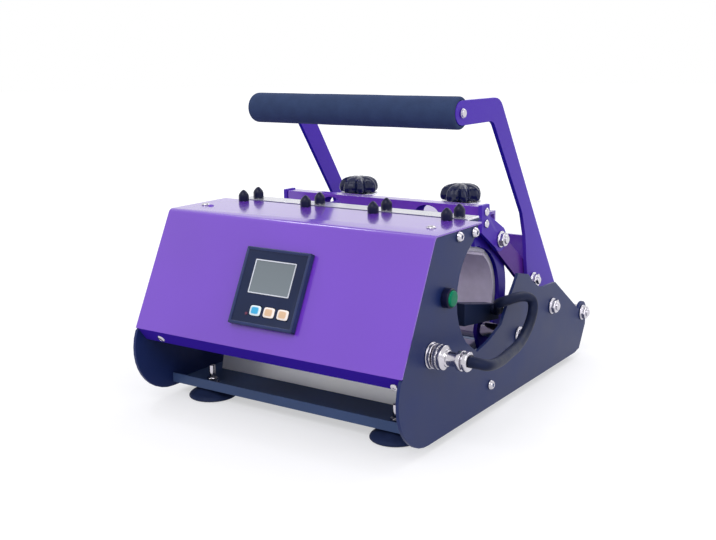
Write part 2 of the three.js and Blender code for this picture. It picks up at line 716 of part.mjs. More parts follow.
add('heater_socket', turned([
  [0, HALF - SOCKET_BODY],
  [SOCKET_HOLE, HALF - SOCKET_BODY],
  [SOCKET_HOLE, HALF + GAP],
  [SOCKET_NUT, HALF + GAP],
  [SOCKET_NUT, SOCKET_FACE],
  [0, SOCKET_FACE],
], SOCKET, 1, 20), material(CHROME, 0.15, 1));

add('heater_plug', turned([
  [0, PLUG_START],
  [PLUG_RING - WASHER, PLUG_START],
  [PLUG_RING, PLUG_START + WASHER],
  [PLUG_RING, PLUG_START + PLUG_STEPS[0]],
  [PLUG_RING - WASHER, PLUG_START + PLUG_STEPS[0]],
  [PLUG_RING - WASHER, PLUG_START + PLUG_STEPS[1]],
  [PLUG_BARREL, PLUG_START + PLUG_STEPS[2]],
  [PLUG_BARREL, PLUG_START + PLUG_STEPS[3]],
  [PLUG_NECK, PLUG_START + PLUG_STEPS[3]],
  [PLUG_NECK, PLUG_START + PLUG_STEPS[4]],
  [PLUG_BARREL, PLUG_START + PLUG_STEPS[4]],
  [PLUG_BARREL, PLUG_START + PLUG_STEPS[5]],
  [PLUG_NECK, PLUG_START + PLUG_STEPS[5]],
  [PLUG_NECK, PLUG_END],
  [0, PLUG_END],
], SOCKET, 1, 20), material(CHROME, 0.15, 1));

const INLET_FLANGE = 3;
const INLET_PROUD = 2;
const INLET_BODY = 22;
const INLET_CAVITY = 12;
const ROCKER_PLAY = 1;

function mainsInlet() {
  const y = INLET_SIZE.x / 2;
  const z = INLET_SIZE.y / 2;
  const out = -HALF - GAP;
  const flange = box(out - INLET_PROUD, out, INLET.x - y - INLET_FLANGE, INLET.x + y + INLET_FLANGE,
    INLET.y - z - INLET_FLANGE, INLET.y + z + INLET_FLANGE);
  const body = box(out - GAP, INLET_BODY - HALF, INLET.x - y, INLET.x + y, INLET.y - z, INLET.y + z);
  const rim = SHEET;
  const cavity = box(out - OVERRUN, INLET_CAVITY - HALF, INLET.x - y + rim, INLET.x + y - rim,
    INLET.y - z + rim, INLET.y + z - rim);
  const pitch = INLET_SIZE.x / 4;
  const half = WASHER / 2;
  const pins = [-1, 0, 1].map((place) => box(-HALF, INLET_CAVITY - HALF + WASHER,
    INLET.x + place * pitch - half, INLET.x + place * pitch + half, INLET.y - WASHER, INLET.y + WASHER));
  return join(cut(join(flange, body), cavity), ...pins);
}

function rockerFrame() {
  const y = ROCKER_SIZE.x / 2;
  const z = ROCKER_SIZE.y / 2;
  const out = -HALF - GAP;
  const flange = box(out - INLET_PROUD, out, ROCKER.x - y - WASHER, ROCKER.x + y + WASHER,
    ROCKER.y - z - WASHER, ROCKER.y + z + WASHER);
  const body = box(out - GAP, INLET_BODY - HALF, ROCKER.x - y, ROCKER.x + y, ROCKER.y - z, ROCKER.y + z);
  const well = box(out - OVERRUN, INLET_CAVITY - HALF, ROCKER.x - y + WASHER, ROCKER.x + y - WASHER,
    ROCKER.y - z + WASHER, ROCKER.y + z - WASHER);
  return cut(join(flange, body), well);
}

function rockerKey() {
  const y = ROCKER_SIZE.x / 2 - WASHER - ROCKER_PLAY;
  const z = ROCKER_SIZE.y / 2 - WASHER - GAP;
  const face = -HALF - INLET_PROUD - WASHER;
  const shape = new THREE.Shape([
    new THREE.Vector2(face, -y),
    new THREE.Vector2(face + WASHER, 0),
    new THREE.Vector2(face, y),
    new THREE.Vector2(face + INLET_FLANGE + INLET_PROUD, y / 2),
    new THREE.Vector2(face + INLET_FLANGE + INLET_PROUD, -y / 2),
  ].reverse());
  const geometry = new THREE.ExtrudeGeometry(shape, { depth: z + z, bevelEnabled: false });
  geometry.translate(0, ROCKER.x, ROCKER.y - z);
  return geometry;
}

add('mains_inlet', mainsInlet(), material(RUBBER, 0.4, 0));
add('rocker_frame', rockerFrame(), material(RUBBER, 0.4, 0));
add('rocker_key', rockerKey(), material(RUBBER, 0.35, 0));

// Terminal block at the mat's lower right end, and the heater lead from the plug to it

const BLOCK_INSET = 23;
const BLOCK_OUTER_X = HALF - BLOCK_INSET;
const BLOCK_SHARES = [[-1.15, 0.19], [0.37, -0.13], [0.4, -0.46], [-1.15, -0.27]];
const BLOCK_FOOT_SHARES = [[-1.15, 0.19], [-0.8, 0.12], [-0.8, -0.31], [-1.15, -0.27]];
const fromSeat = ([back, up]) => [SEAT.x + SEAT_RADIUS * back, SEAT.y + SEAT_RADIUS * up];

function terminalBlock() {
  const inner = LINK_INNER_X + LAYER_GAP;
  const body = slab(outline(BLOCK_SHARES.map(fromSeat).reverse()), inner, BLOCK_OUTER_X);
  const heel = slab(outline(BLOCK_FOOT_SHARES.map(fromSeat).reverse()), HALF_SEAT + GAP, BLOCK_OUTER_X - WASHER);
  return join(body, heel);
}

// Points between the lead's ends: out from the plate's face, then shares of its length and height
const LEAD_ROUTE = [
  [44.5, 0.1316, 0.4418], [50, 0.1433, 0.4323], [48, 0.1884, 0.4116], [42, 0.2547, 0.3887],
  [34.5, 0.3276, 0.3702], [27, 0.3967, 0.3596], [22, 0.4489, 0.3691], [19, 0.4863, 0.3949],
  [17, 0.5154, 0.4279], [15.6, 0.5344, 0.4642], [14.6, 0.5413, 0.4983], [13.3, 0.5365, 0.5263],
  [11.5, 0.5177, 0.5481], [8.5, 0.4924, 0.5526], [4.3, 0.4759, 0.5481], [-1.5, 0.4709, 0.5347],
  [-8, 0.4873, 0.5145], [-12, 0.5101, 0.481], [-16, 0.5278, 0.4558],
];
const LEAD_END_SHARES = [0.087, -0.1913];

function heaterLead() {
  const end = fromSeat(LEAD_END_SHARES);
  const curve = new THREE.CatmullRomCurve3([
    new THREE.Vector3(PLUG_END + GAP, SOCKET.x, SOCKET.y),
    ...LEAD_ROUTE.map(([out, along, up]) => new THREE.Vector3(HALF + out, ...at([along, up]))),
    new THREE.Vector3(BLOCK_OUTER_X + GAP + SHOULDER / 2, ...end),
    new THREE.Vector3(BLOCK_OUTER_X + GAP, ...end),
  ]);
  const section = new THREE.Shape();
  section.absarc(0, 0, LEAD_RADIUS, 0, Math.PI * 2, false);
  return new THREE.ExtrudeGeometry(section, { steps: 36, bevelEnabled: false, extrudePath: curve, curveSegments: 4 });
}

add('terminal_block', terminalBlock(), material(RUBBER, 0.5, 0));
add('heater_lead', heaterLead(), material(RUBBER, 0.6, 0));

// Fixed pivot bolts, the stop rod and its rubber bushes

const BUSH = 10;
const BUSH_START = ARM_INNER_X;

// Head and washer outside the plate, a thin shank through it, and a shoulder up to the moving piece.
function shoulderBolt(axis, side, seatFace, tip, nut) {
  const head = boltProfile(HALF, BIG_SHANK, PLATE, BIG_HEAD, BIG_HEAD_HEIGHT).slice(2);
  const profile = [
    [0, tip],
    ...nut,
    [BIG_SHANK, seatFace + GAP],
    [SHOULDER, seatFace + GAP],
    [SHOULDER, INNER_X - GAP],
    [BIG_SHANK, INNER_X - GAP],
    ...head,
  ];
  return turned(profile, axis, side);
}

const HANDLE_NUT = 8.5;
const NUT_THICK = 4.5;
const HANDLE_BOLT_TIP = ARM_INNER_X - GAP - NUT_THICK - WASHER;
const HANDLE_BOLT_NUT = [
  [BIG_SHANK, HANDLE_BOLT_TIP],
  [BIG_SHANK, HANDLE_BOLT_TIP + WASHER],
  [HANDLE_NUT, HANDLE_BOLT_TIP + WASHER],
  [HANDLE_NUT, ARM_INNER_X - GAP],
  [BIG_SHANK, ARM_INNER_X - GAP],
];
const CLAMP_BOLT_TIP = END_INNER_X;
const CLAMP_BOLT_NUT = [[BIG_SHANK, CLAMP_BOLT_TIP]];

for (const [hand, side] of SIDES) {
  add(`handle_pivot_bolt_${hand}`, shoulderBolt(HANDLE_PIVOT, side, ARM_OUTER_X, HANDLE_BOLT_TIP,
    HANDLE_BOLT_NUT), material(CHROME, 0.2, 1));
  add(`clamp_pivot_bolt_${hand}`, shoulderBolt(CLAMP_PIVOT, side, END_OUTER_X, CLAMP_BOLT_TIP,
    CLAMP_BOLT_NUT), material(CHROME, 0.2, 1));
}

function stopRod() {
  const right = boltProfile(HALF, BIG_SHANK, PLATE, BIG_HEAD, BIG_HEAD_HEIGHT).slice(2);
  const left = right.map(([radius, x]) => [radius, -x]).reverse();
  return turned([...left, ...right], STOP, 1);
}

function stopBush(side) {
  const profile = [
    [BIG_SHANK + GAP, BUSH_START],
    [BUSH - WASHER, BUSH_START],
    [BUSH, BUSH_START + WASHER],
    [BUSH, INNER_X - GAP],
    [BIG_SHANK + GAP, INNER_X - GAP],
    [BIG_SHANK + GAP, BUSH_START],
  ];
  return turned(profile, STOP, side, 16);
}

add('stop_rod', stopRod(), material(CHROME, 0.2, 1));
for (const [hand, side] of SIDES) add(`stop_bush_${hand}`, stopBush(side), material(RUBBER, 0.7, 0));

// Clamp: end plates on the pivot bolts, the curved shell with its layers, and the bar that joins the ears

const RING_INNER = 51;
const RING_OUTER = 67;
const RING_TOP_DEG = 80;
const RING_LOW_DEG = -72;
const LUG_RADIUS = 11;
const BAR_FORWARD = 4;
const BAR_FRONT = SEAT.x - BAR_FORWARD;
const BAR_DEPTH = 14;
const BAR_RISE = 81.2;
const BAR_LOW_Z = SEAT.y + BAR_RISE;
const BAR_HEIGHT = 11.2;
const BAR_TOP_Z = BAR_LOW_Z + BAR_HEIGHT;
const BAR_ARCH_X = WIDTH * 0.192;
const BAR_ARCH_HALF = 13.4;
const BAR_ARCH_RISE = 8.6;
const EAR_PIN_RADIUS = 12.5;
const EAR_TOP_PROUD = 1.2;
const RIVET_RADIUS = 3.8;
const RIVET_PROUD = 2.2;
const BAR_REAR = BAR_FRONT + BAR_DEPTH;
const EAR_INNER_X = ARM_INNER_X;
const EAR_OUTER_X = ARM_OUTER_X;
const BAR_X = EAR_INNER_X - GAP;

function clampEnd(side) {
  const x0 = side > 0 ? END_INNER_X : -END_OUTER_X;
  const x1 = side > 0 ? END_OUTER_X : -END_INNER_X;
  const ring = outline([
    ...arcPoints(SEAT, RING_OUTER, RING_LOW_DEG, RING_TOP_DEG, 18),
    ...arcPoints(SEAT, RING_INNER, RING_TOP_DEG, RING_LOW_DEG, 16),
  ]);
  const toPivot = CLAMP_PIVOT.clone().sub(SEAT).setLength((RING_INNER + RING_OUTER) / 2).add(SEAT);
  const lug = strap(CLAMP_PIVOT, toPivot, LUG_RADIUS, LUG_RADIUS);
  const neck = outline([
    [BAR_FRONT + WASHER, SEAT.y + RING_INNER + WASHER],
    [BAR_REAR + LUG_RADIUS, SEAT.y + RING_INNER],
    [BAR_REAR, BAR_LOW_Z - GAP],
    [BAR_FRONT + WASHER, BAR_LOW_Z - GAP],
  ]);
  const solid = join(slab(ring, x0, x1), slab(lug, x0, x1, 6), slab(neck, x0, x1));
  return cut(solid, rod(CLAMP_PIVOT, BIG_SHANK + GAP, x0 - OVERRUN, x1 + OVERRUN));
}

// A low arch that runs through the bar and the sheet behind it
function barArch(side, z) {
  const shape = new THREE.Shape();
  shape.absellipse(side * BAR_ARCH_X, z, BAR_ARCH_HALF, BAR_ARCH_RISE, 0, Math.PI, false);
  const depth = BAR_DEPTH + OVERRUN + OVERRUN;
  const geometry = new THREE.ExtrudeGeometry(shape, { depth, bevelEnabled: false, curveSegments: 8 });
  geometry.rotateX(Math.PI / 2);
  geometry.translate(0, BAR_REAR + OVERRUN + OVERRUN / 2, 0);
  return geometry;
}

function clampBar() {
  const bar = box(-BAR_X, BAR_X, BAR_FRONT, BAR_REAR, BAR_LOW_Z, BAR_TOP_Z);
  return cut(bar, barArch(1, BAR_LOW_Z - GAP), barArch(-1, BAR_LOW_Z - GAP));
}

function clampEar(side) {
  const shape = outline([
    [BAR_FRONT - WASHER, BAR_TOP_Z + EAR_TOP_PROUD],
    [BAR_FRONT - WASHER, BAR_LOW_Z - BAR_DEPTH],
    ...arcPoints(EAR_PIN, EAR_PIN_RADIUS, 215, 415, 12),
    [BAR_REAR + EAR_TOP_PROUD + EAR_TOP_PROUD, BAR_LOW_Z],
    [BAR_REAR, BAR_TOP_Z + EAR_TOP_PROUD],
  ]);
  addHole(shape, EAR_PIN, BIG_SHANK + GAP);
  const ear = side > 0 ? slab(shape, EAR_INNER_X, EAR_OUTER_X, 5) : slab(shape, -EAR_OUTER_X, -EAR_INNER_X, 5);
  return join(ear, ...rivetPlaces().map((axis) => rivet(axis, side)));
}

function rivetPlaces() {
  const y = BAR_FRONT + BAR_DEPTH / 2;
  const z = (BAR_LOW_Z + BAR_TOP_Z) / 2;
  return [new THREE.Vector2(y, z), new THREE.Vector2(y, z - BAR_DEPTH + EAR_TOP_PROUD + EAR_TOP_PROUD)];
}

function rivet(axis, side) {
  const face = EAR_OUTER_X;
  const profile = [
    [0, EAR_INNER_X + ARM / 2],
    [RIVET_RADIUS, EAR_INNER_X + ARM / 2],
    [RIVET_RADIUS, face + RIVET_PROUD / 2],
    [RIVET_RADIUS / 2, face + RIVET_PROUD],
    [0, face + RIVET_PROUD],
  ];
  return turned(profile, axis, side, 12);
}

function earPin(side) {
  const profile = boltProfile(EAR_OUTER_X, BIG_SHANK, ARM, BIG_HEAD, BIG_HEAD_HEIGHT);
  return turned(profile, EAR_PIN, side);
}

add('clamp_end_left', clampEnd(-1), material(0x3a1f86, 0.3, 0.1));
add('clamp_end_right', clampEnd(1), material(0x3a1f86, 0.3, 0.1));
add('clamp_shell', rearLayer(SHELL_INNER, SHELL_OUTER), material(STEEL, 0.35, 0.9));
add('insulation_rear', rearLayer(PAD_INNER, PAD_INNER + PAD), material(FELT, 0.95, 0));
add('heating_mat_rear', rearLayer(SEAT_RADIUS, SEAT_RADIUS + MAT), material(MAT_GREY, 0.7, 0));
add('clamp_bar', clampBar(), material(VIOLET, 0.3, 0.1));
add('clamp_ear_left', clampEar(-1), material(VIOLET, 0.3, 0.1));
add('clamp_ear_right', clampEar(1), material(VIOLET, 0.3, 0.1));
for (const [hand, side] of SIDES) add(`ear_pin_${hand}`, earPin(side), material(CHROME, 0.2, 1));

// Adjuster bracket behind the bar, with a star knob and chrome washer at each side

const KNOB_X = WIDTH * 0.211;
const KNOB_BACK = 46.5;
const KNOB_Y = BAR_REAR + KNOB_BACK;
const KNOB_RADIUS = 22.8;
const KNOB_WAIST = 16.5;
const KNOB_LOBES = 7;
const KNOB_HUB = 9;
const KNOB_HUB_RISE = 5;
const KNOB_THICK = 15;
const KNOB_BEVEL = 3;
const KNOB_STUD = 4;
const BRACKET_X = WIDTH * 0.30667;
const BRACKET_BACK = 68;
const BRACKET_REAR = BAR_REAR + BRACKET_BACK;
const BRACKET_DROP = 5.4;
const BRACKET_TOP_Z = BAR_LOW_Z - BRACKET_DROP;
const BRACKET_SHEET = 3;
const BRACKET_LIP = 10;
const KNOB_WASHER = 14;
const KNOB_WASHER_THICK = 7;
const KNOB_LOW_Z = BRACKET_TOP_Z + KNOB_WASHER_THICK + GAP;

function adjusterBracket() {
  const profile = outline([
    [BAR_REAR + GAP, BRACKET_TOP_Z],
    [BAR_REAR + GAP, BAR_TOP_Z - WASHER],
    [BAR_REAR + GAP + BRACKET_SHEET, BAR_TOP_Z - WASHER],
    [BAR_REAR + GAP + BRACKET_SHEET, BRACKET_TOP_Z],
    [BRACKET_REAR, BRACKET_TOP_Z],
    [BRACKET_REAR, BRACKET_TOP_Z - BRACKET_LIP],
    [BRACKET_REAR - BRACKET_SHEET, BRACKET_TOP_Z - BRACKET_LIP],
    [BRACKET_REAR - BRACKET_SHEET, BRACKET_TOP_Z - BRACKET_SHEET],
    [BAR_REAR + GAP, BRACKET_TOP_Z - BRACKET_SHEET],
  ].reverse());
  const holes = [1, -1].map((side) => upright(KNOB_STUD + GAP, side * KNOB_X, KNOB_Y,
    BRACKET_TOP_Z - BRACKET_LIP, BRACKET_TOP_Z + OVERRUN));
  const arches = [1, -1].map((side) => barArch(side, BAR_LOW_Z - GAP));
  const sheet = cut(slab(profile, -BRACKET_X, BRACKET_X), ...holes, ...arches);
  return join(sheet, knobWasher(1), knobWasher(-1));
}

function starKnob(side) {
  const shape = new THREE.Shape();
  const steps = KNOB_LOBES * 5;
  const mean = (KNOB_RADIUS + KNOB_WAIST) / 2 - KNOB_BEVEL;
  const swing = (KNOB_RADIUS - KNOB_WAIST) / 2;
  for (let i = 0; i < steps; i += 1) {
    const angle = (i / steps) * Math.PI * 2;
    const radius = mean + swing * Math.cos(KNOB_LOBES * angle);
    const x = radius * Math.cos(angle);
    const y = radius * Math.sin(angle);
    if (i === 0) shape.moveTo(x, y);
    else shape.lineTo(x, y);
  }
  const depth = KNOB_THICK - KNOB_BEVEL - KNOB_BEVEL;
  const bevel = { bevelEnabled: true, bevelThickness: KNOB_BEVEL, bevelSize: KNOB_BEVEL, bevelSegments: 1 };
  const star = new THREE.ExtrudeGeometry(shape, { depth, ...bevel });
  const starLow = KNOB_LOW_Z + KNOB_HUB_RISE;
  star.translate(side * KNOB_X, KNOB_Y, starLow + KNOB_BEVEL);
  const hub = upright(KNOB_HUB, side * KNOB_X, KNOB_Y, KNOB_LOW_Z, starLow + KNOB_BEVEL, 16);
  const studFoot = BRACKET_TOP_Z - BRACKET_LIP - BRACKET_LIP;
  const stud = upright(KNOB_STUD, side * KNOB_X, KNOB_Y, studFoot, KNOB_LOW_Z + KNOB_BEVEL);
  return join(star, hub, stud);
}

function knobWasher(side) {
  const inner = KNOB_STUD + GAP;
  const profile = [
    [inner, -WASHER],
    [KNOB_WASHER, -WASHER],
    [KNOB_WASHER, KNOB_WASHER_THICK / 3],
    [KNOB_WASHER - WASHER, KNOB_WASHER_THICK - WASHER],
    [KNOB_HUB, KNOB_WASHER_THICK],
    [inner, KNOB_WASHER_THICK],
    [inner, -WASHER],
  ];
  return standing(profile, side * KNOB_X, KNOB_Y, BRACKET_TOP_Z, 16);
}

add('adjuster_bracket', adjusterBracket(), material(VIOLET, 0.3, 0.1));
add('star_knob_left', starKnob(-1), material(RUBBER, 0.2, 0));
add('star_knob_right', starKnob(1), material(RUBBER, 0.2, 0));

// Handle: two bent arms on the handle pivots, the foam grip, the cross bar and the pins of the links

const ARM_END_RADIUS = 11.2;
const ARM_FOOT_RADIUS = 13;
const ARM_SPAN = new THREE.Vector2(HANDLE_PIVOT.x - GRIP.x, GRIP.y - HANDLE_PIVOT.y);
const onArm = ([backShare, upShare]) => [GRIP.x + ARM_SPAN.x * backShare, HANDLE_PIVOT.y + ARM_SPAN.y * upShare];
const ARM_BACK_SHARES = [[0.968, 0.148], [0.759, 0.445]];
const ELBOW_SHARES = [0.344, 1.0466];
const ELBOW_RADIUS = 19;
const INNER_ELBOW_SHARES = [0.281, 0.9515];
const INNER_ELBOW_RADIUS = 11;
const ARM_FRONT_SHARES = [[0.586, 0.5265], [0.6258, 0.416], [0.639, 0.318], [0.6575, 0.2255]];
const GRIP_CLEAR = 1.4;
const GRIP_CAP = 3.6;
const GRIP_END_X = ARM_INNER_X - GRIP_CLEAR;
const GRIP_FAR_END_X = ARM_OUTER_X + GRIP_CAP;
const GRIP_ROUND = 6;
const GRIP_TUBE = 9.3;
const CROSS_BAR = 4;
const CROSS_BAR_HEIGHT = 28;
const CROSS_BAR_BACK = 5;
const CROSS_BAR_UP = 20;

function arm(side) {
  const corner = BUSH + GAP + GAP;
  const stopAngle = THREE.MathUtils.degToRad(30);
  const shape = outline(rounded([
    ...arcPoints(GRIP, ARM_END_RADIUS, 90, 270, 8),
    [...onArm(INNER_ELBOW_SHARES), INNER_ELBOW_RADIUS],
    ...ARM_FRONT_SHARES.map(onArm),
    [STOP.x + corner * Math.cos(stopAngle), STOP.y + corner * Math.sin(stopAngle)],
    ...arcPoints(HANDLE_PIVOT, ARM_FOOT_RADIUS, 235, 390, 8),
    ...ARM_BACK_SHARES.map(onArm),
    [...onArm(ELBOW_SHARES), ELBOW_RADIUS],
  ]));
  addHole(shape, HANDLE_PIVOT, BIG_SHANK + GAP);
  addHole(shape, ARM_PIN, BIG_SHANK + GAP);
  addHole(shape, GRIP, SMALL_SHANK + GAP);
  return side > 0 ? slab(shape, ARM_INNER_X, ARM_OUTER_X, 5) : slab(shape, -ARM_OUTER_X, -ARM_INNER_X, 5);
}

// The sleeve's far end wraps the left arm's end, with a slot behind for the arm to leave by.
function foamGrip() {
  const far = -GRIP_FAR_END_X;
  const profile = [
    [0, far],
    [GRIP_RADIUS - GRIP_ROUND, far],
    [GRIP_RADIUS - GRIP_ROUND / 3, far + GRIP_ROUND / 3],
    [GRIP_RADIUS, far + GRIP_ROUND],
    [GRIP_RADIUS, GRIP_END_X - GRIP_ROUND],
    [GRIP_RADIUS - GRIP_ROUND / 3, GRIP_END_X - GRIP_ROUND / 3],
    [GRIP_RADIUS - GRIP_ROUND, GRIP_END_X],
    [0, GRIP_END_X],
  ];
  const tube = rod(GRIP, GRIP_TUBE + GAP, -ARM_OUTER_X, GRIP_END_X + OVERRUN, 16);
  const behind = new THREE.Vector2(GRIP.x + GRIP_RADIUS + GRIP_RADIUS, GRIP.y);
  const slotShape = strap(GRIP, behind, ARM_END_RADIUS + GAP + GAP, ARM_END_RADIUS + GAP + GAP);
  const slot = slab(slotShape, -ARM_OUTER_X - GAP, GAP - ARM_INNER_X, 6);
  const bolt = rod(GRIP, SMALL_HEAD + GAP + GAP, far - OVERRUN, -ARM_OUTER_X);
  return cut(turned(profile, GRIP, 1, 20), tube, slot, bolt);
}

function gripTube() {
  const bolt = boltProfile(ARM_OUTER_X, SMALL_SHANK, ARM + OVERRUN, SMALL_HEAD, WASHER);
  const tube = rod(GRIP, GRIP_TUBE, GAP - ARM_INNER_X, ARM_INNER_X - GAP, 16);
  return join(tube, turned(bolt, GRIP, 1, 10), turned(bolt, GRIP, -1, 10));
}

function armPin(side) {
  const tip = LINK_INNER_X - GAP - SHEET;
  const head = boltProfile(ARM_OUTER_X, BIG_SHANK, ARM, BIG_HEAD, BIG_HEAD_HEIGHT).slice(2);
  const profile = [
    [0, tip],
    [BIG_SHANK + WASHER, tip],
    [BIG_SHANK + WASHER, LINK_INNER_X - GAP],
    [BIG_SHANK, LINK_INNER_X - GAP],
    ...head,
  ];
  return turned(profile, ARM_PIN, side);
}

function crossBar() {
  const y = ARM_PIN.x - CROSS_BAR_BACK;
  const low = ARM_PIN.y + CROSS_BAR_UP;
  return box(GAP - ARM_INNER_X, ARM_INNER_X - GAP, y - CROSS_BAR / 2, y + CROSS_BAR / 2, low, low + CROSS_BAR_HEIGHT);
}

add('handle_arm_left', arm(-1), material(VIOLET, 0.3, 0.1));
add('handle_arm_right', arm(1), material(VIOLET, 0.3, 0.1));
add('grip_tube', gripTube(), material(STEEL, 0.35, 0.9));
add('foam_grip', foamGrip(), material(FOAM, 0.9, 0));
for (const [hand, side] of SIDES) add(`arm_pin_${hand}`, armPin(side), material(CHROME, 0.2, 1));
add('handle_cross_bar', crossBar(), material(VIOLET, 0.3, 0.1));

// Toggle links between the arms' pins and the ears

const LINK_EAR_RADIUS = 9.5;
const LINK_ARM_RADIUS = 12;

function link(side) {
  const shape = strap(EAR_PIN, ARM_PIN, LINK_EAR_RADIUS, LINK_ARM_RADIUS);
  addHole(shape, EAR_PIN, BIG_SHANK + GAP);
  addHole(shape, ARM_PIN, BIG_SHANK + GAP);
  return side > 0 ? slab(shape, LINK_INNER_X, LINK_OUTER_X, 6) : slab(shape, -LINK_OUTER_X, -LINK_INNER_X, 6);
}

add('toggle_link_left', link(-1), material(0x5b3490, 0.3, 0.1));
add('toggle_link_right', link(1), material(0x5b3490, 0.3, 0.1));

object.position.set(0, -SIDE_LENGTH / 2, 0);

export default object;
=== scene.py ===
"""Mug heat press: finished surfaces, materials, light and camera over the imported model."""

import json
import math

import bmesh
import bpy
import numpy as np
from bpy.props import FloatProperty, FloatVectorProperty, IntProperty, PointerProperty
from mathutils import Matrix, Vector


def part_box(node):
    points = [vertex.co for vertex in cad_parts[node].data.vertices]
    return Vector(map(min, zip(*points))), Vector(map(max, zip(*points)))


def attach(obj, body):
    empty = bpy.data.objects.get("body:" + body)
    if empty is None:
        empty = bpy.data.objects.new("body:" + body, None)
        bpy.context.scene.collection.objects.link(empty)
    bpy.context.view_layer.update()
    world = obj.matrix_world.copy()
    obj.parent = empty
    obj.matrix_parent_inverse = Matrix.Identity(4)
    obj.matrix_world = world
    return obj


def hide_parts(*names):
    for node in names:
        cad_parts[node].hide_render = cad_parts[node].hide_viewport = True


bl_info = {
    "name": "Mug heat press",
    "version": (1, 0, 0),
    "blender": (4, 5, 0),
    "location": "3D View > Sidebar > Heat press",
    "description": "Builds the surfaces, materials and studio of a mug heat press",
    "category": "Add Mesh",
}

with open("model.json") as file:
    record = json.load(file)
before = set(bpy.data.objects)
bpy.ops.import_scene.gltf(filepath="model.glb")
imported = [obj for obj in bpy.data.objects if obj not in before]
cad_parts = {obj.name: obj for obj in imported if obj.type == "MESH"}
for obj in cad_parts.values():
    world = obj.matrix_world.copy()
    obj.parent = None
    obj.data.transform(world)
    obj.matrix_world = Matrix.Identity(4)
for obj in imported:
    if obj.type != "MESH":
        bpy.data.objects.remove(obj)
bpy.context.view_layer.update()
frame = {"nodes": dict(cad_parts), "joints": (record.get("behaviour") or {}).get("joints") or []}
NODES = frame["nodes"]
MM = 0.001
SIDES = {"left": -1, "right": 1}


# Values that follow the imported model

def low(node):
    """The lowest corner of a node, as an array in metres."""
    return np.array(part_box(node)[0])


def high(node):
    """The highest corner of a node, as an array in metres."""
    return np.array(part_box(node)[1])


def middle(node):
    """The centre of a node's box, as an array in metres."""
    return (low(node) + high(node)) / 2


def reach_x(node):
    """How far a node reaches to the left and to the right, in millimetres."""
    return low(node)[0] / MM, high(node)[0] / MM


def knob_place(hand):
    """The place of a star knob's axis, in metres."""
    return next(joint for joint in frame["joints"] if joint["child"] == f"star_knob_{hand}")["pos_m"]


def points_of(mesh):
    """A mesh's points as an array in metres."""
    values = np.empty(len(mesh.vertices) * 3, np.float32)
    mesh.vertices.foreach_get("co", values)
    return values.reshape(-1, 3).astype(float)


# The side plates' outer faces and front edge, and the flat top of the cover, in metres.
HALF_WIDTH = high("side_plate_right")[0]
FRONT_Y = low("side_plate_right")[1]
TOP_Z = 0.1858


# Colours and nodes

def linear(code):
    """An sRGB hex colour as linear red, green and blue."""
    channels = np.array([int(code[i:i + 2], 16) for i in (1, 3, 5)]) / 255
    bent = np.where(channels <= 0.04045, channels / 12.92, ((channels + 0.055) / 1.055) ** 2.4)
    return tuple(float(value) for value in bent)


def rgba(colour):
    """A linear colour with full opacity."""
    return (*tuple(colour)[:3], 1.0)


def add_node(tree, kind, inputs=None, **settings):
    """Adds a shader node, with its settings, and its inputs as values or as sockets to link."""
    made = tree.nodes.new(kind)
    for name, value in settings.items():
        setattr(made, name, value)
    for socket, value in (inputs or {}).items():
        if isinstance(value, bpy.types.NodeSocket):
            tree.links.new(value, made.inputs[socket])
        else:
            made.inputs[socket].default_value = value
    return made


def start_material(name):
    """A new node material: its tree, its surface shader and its object coordinates."""
    material = bpy.data.materials.new(name)
    material.use_nodes = True
    tree = material.node_tree
    shader = tree.nodes["Principled BSDF"]
    place = add_node(tree, "ShaderNodeTexCoord").outputs["Object"]
    return material, tree, shader, place


def noise(tree, place, size, detail=3.0, roughness=0.55, stretch=None):
    """Noise whose blotches are about size metres across, drawn out along an axis by stretch."""
    if stretch is not None:
        place = add_node(tree, "ShaderNodeMapping", {"Vector": place, "Scale": stretch}).outputs[0]
    settings = {"Vector": place, "Scale": 1 / size, "Detail": detail, "Roughness": roughness}
    return add_node(tree, "ShaderNodeTexNoise", settings).outputs["Fac"]


def spread(tree, value, lowest, highest, start=0.3, end=0.7):
    """A value from start to end, mapped to the numbers from lowest to highest."""
    inputs = {"Value": value, "From Min": start, "From Max": end, "To Min": lowest, "To Max": highest}
    return add_node(tree, "ShaderNodeMapRange", inputs).outputs["Result"]


def two_tone(tree, value, first, second, start=0.35, end=0.65):
    """A colour that runs from first to second as value runs from start to end."""
    ramp = add_node(tree, "ShaderNodeValToRGB", {"Fac": value})
    for stop, position, colour in zip(ramp.color_ramp.elements, (start, end), (first, second)):
        stop.position = position
        stop.color = rgba(colour)
    return ramp.outputs["Color"]


def toned(tree, value, colour, first, last, start=0.35, end=0.65):
    """The given colour, times first where value is start, up to times last where value is end."""
    shades = (tuple(min(1.0, channel * share) for channel in colour) for share in (first, last))
    return two_tone(tree, value, *shades, start, end)


def bump(tree, height, distance, strength=1.0, base=None):
    """A bump of the given height in metres, over another bump where one is given."""
    inputs = {"Height": height, "Distance": distance, "Strength": strength}
    if base is not None:
        inputs["Normal"] = base
    return add_node(tree, "ShaderNodeBump", inputs).outputs["Normal"]


def connect(tree, shader, **sockets):
    """Links or sets the surface shader's inputs, with underscores for the spaces in their names."""
    for name, value in sockets.items():
        socket = shader.inputs[name.replace("_", " ")]
        if isinstance(value, bpy.types.NodeSocket):
            tree.links.new(value, socket)
        else:
            socket.default_value = value


# Materials

# A wave texture of scale 1 repeats every 0.314 m.
WAVE_SCALE = 0.314


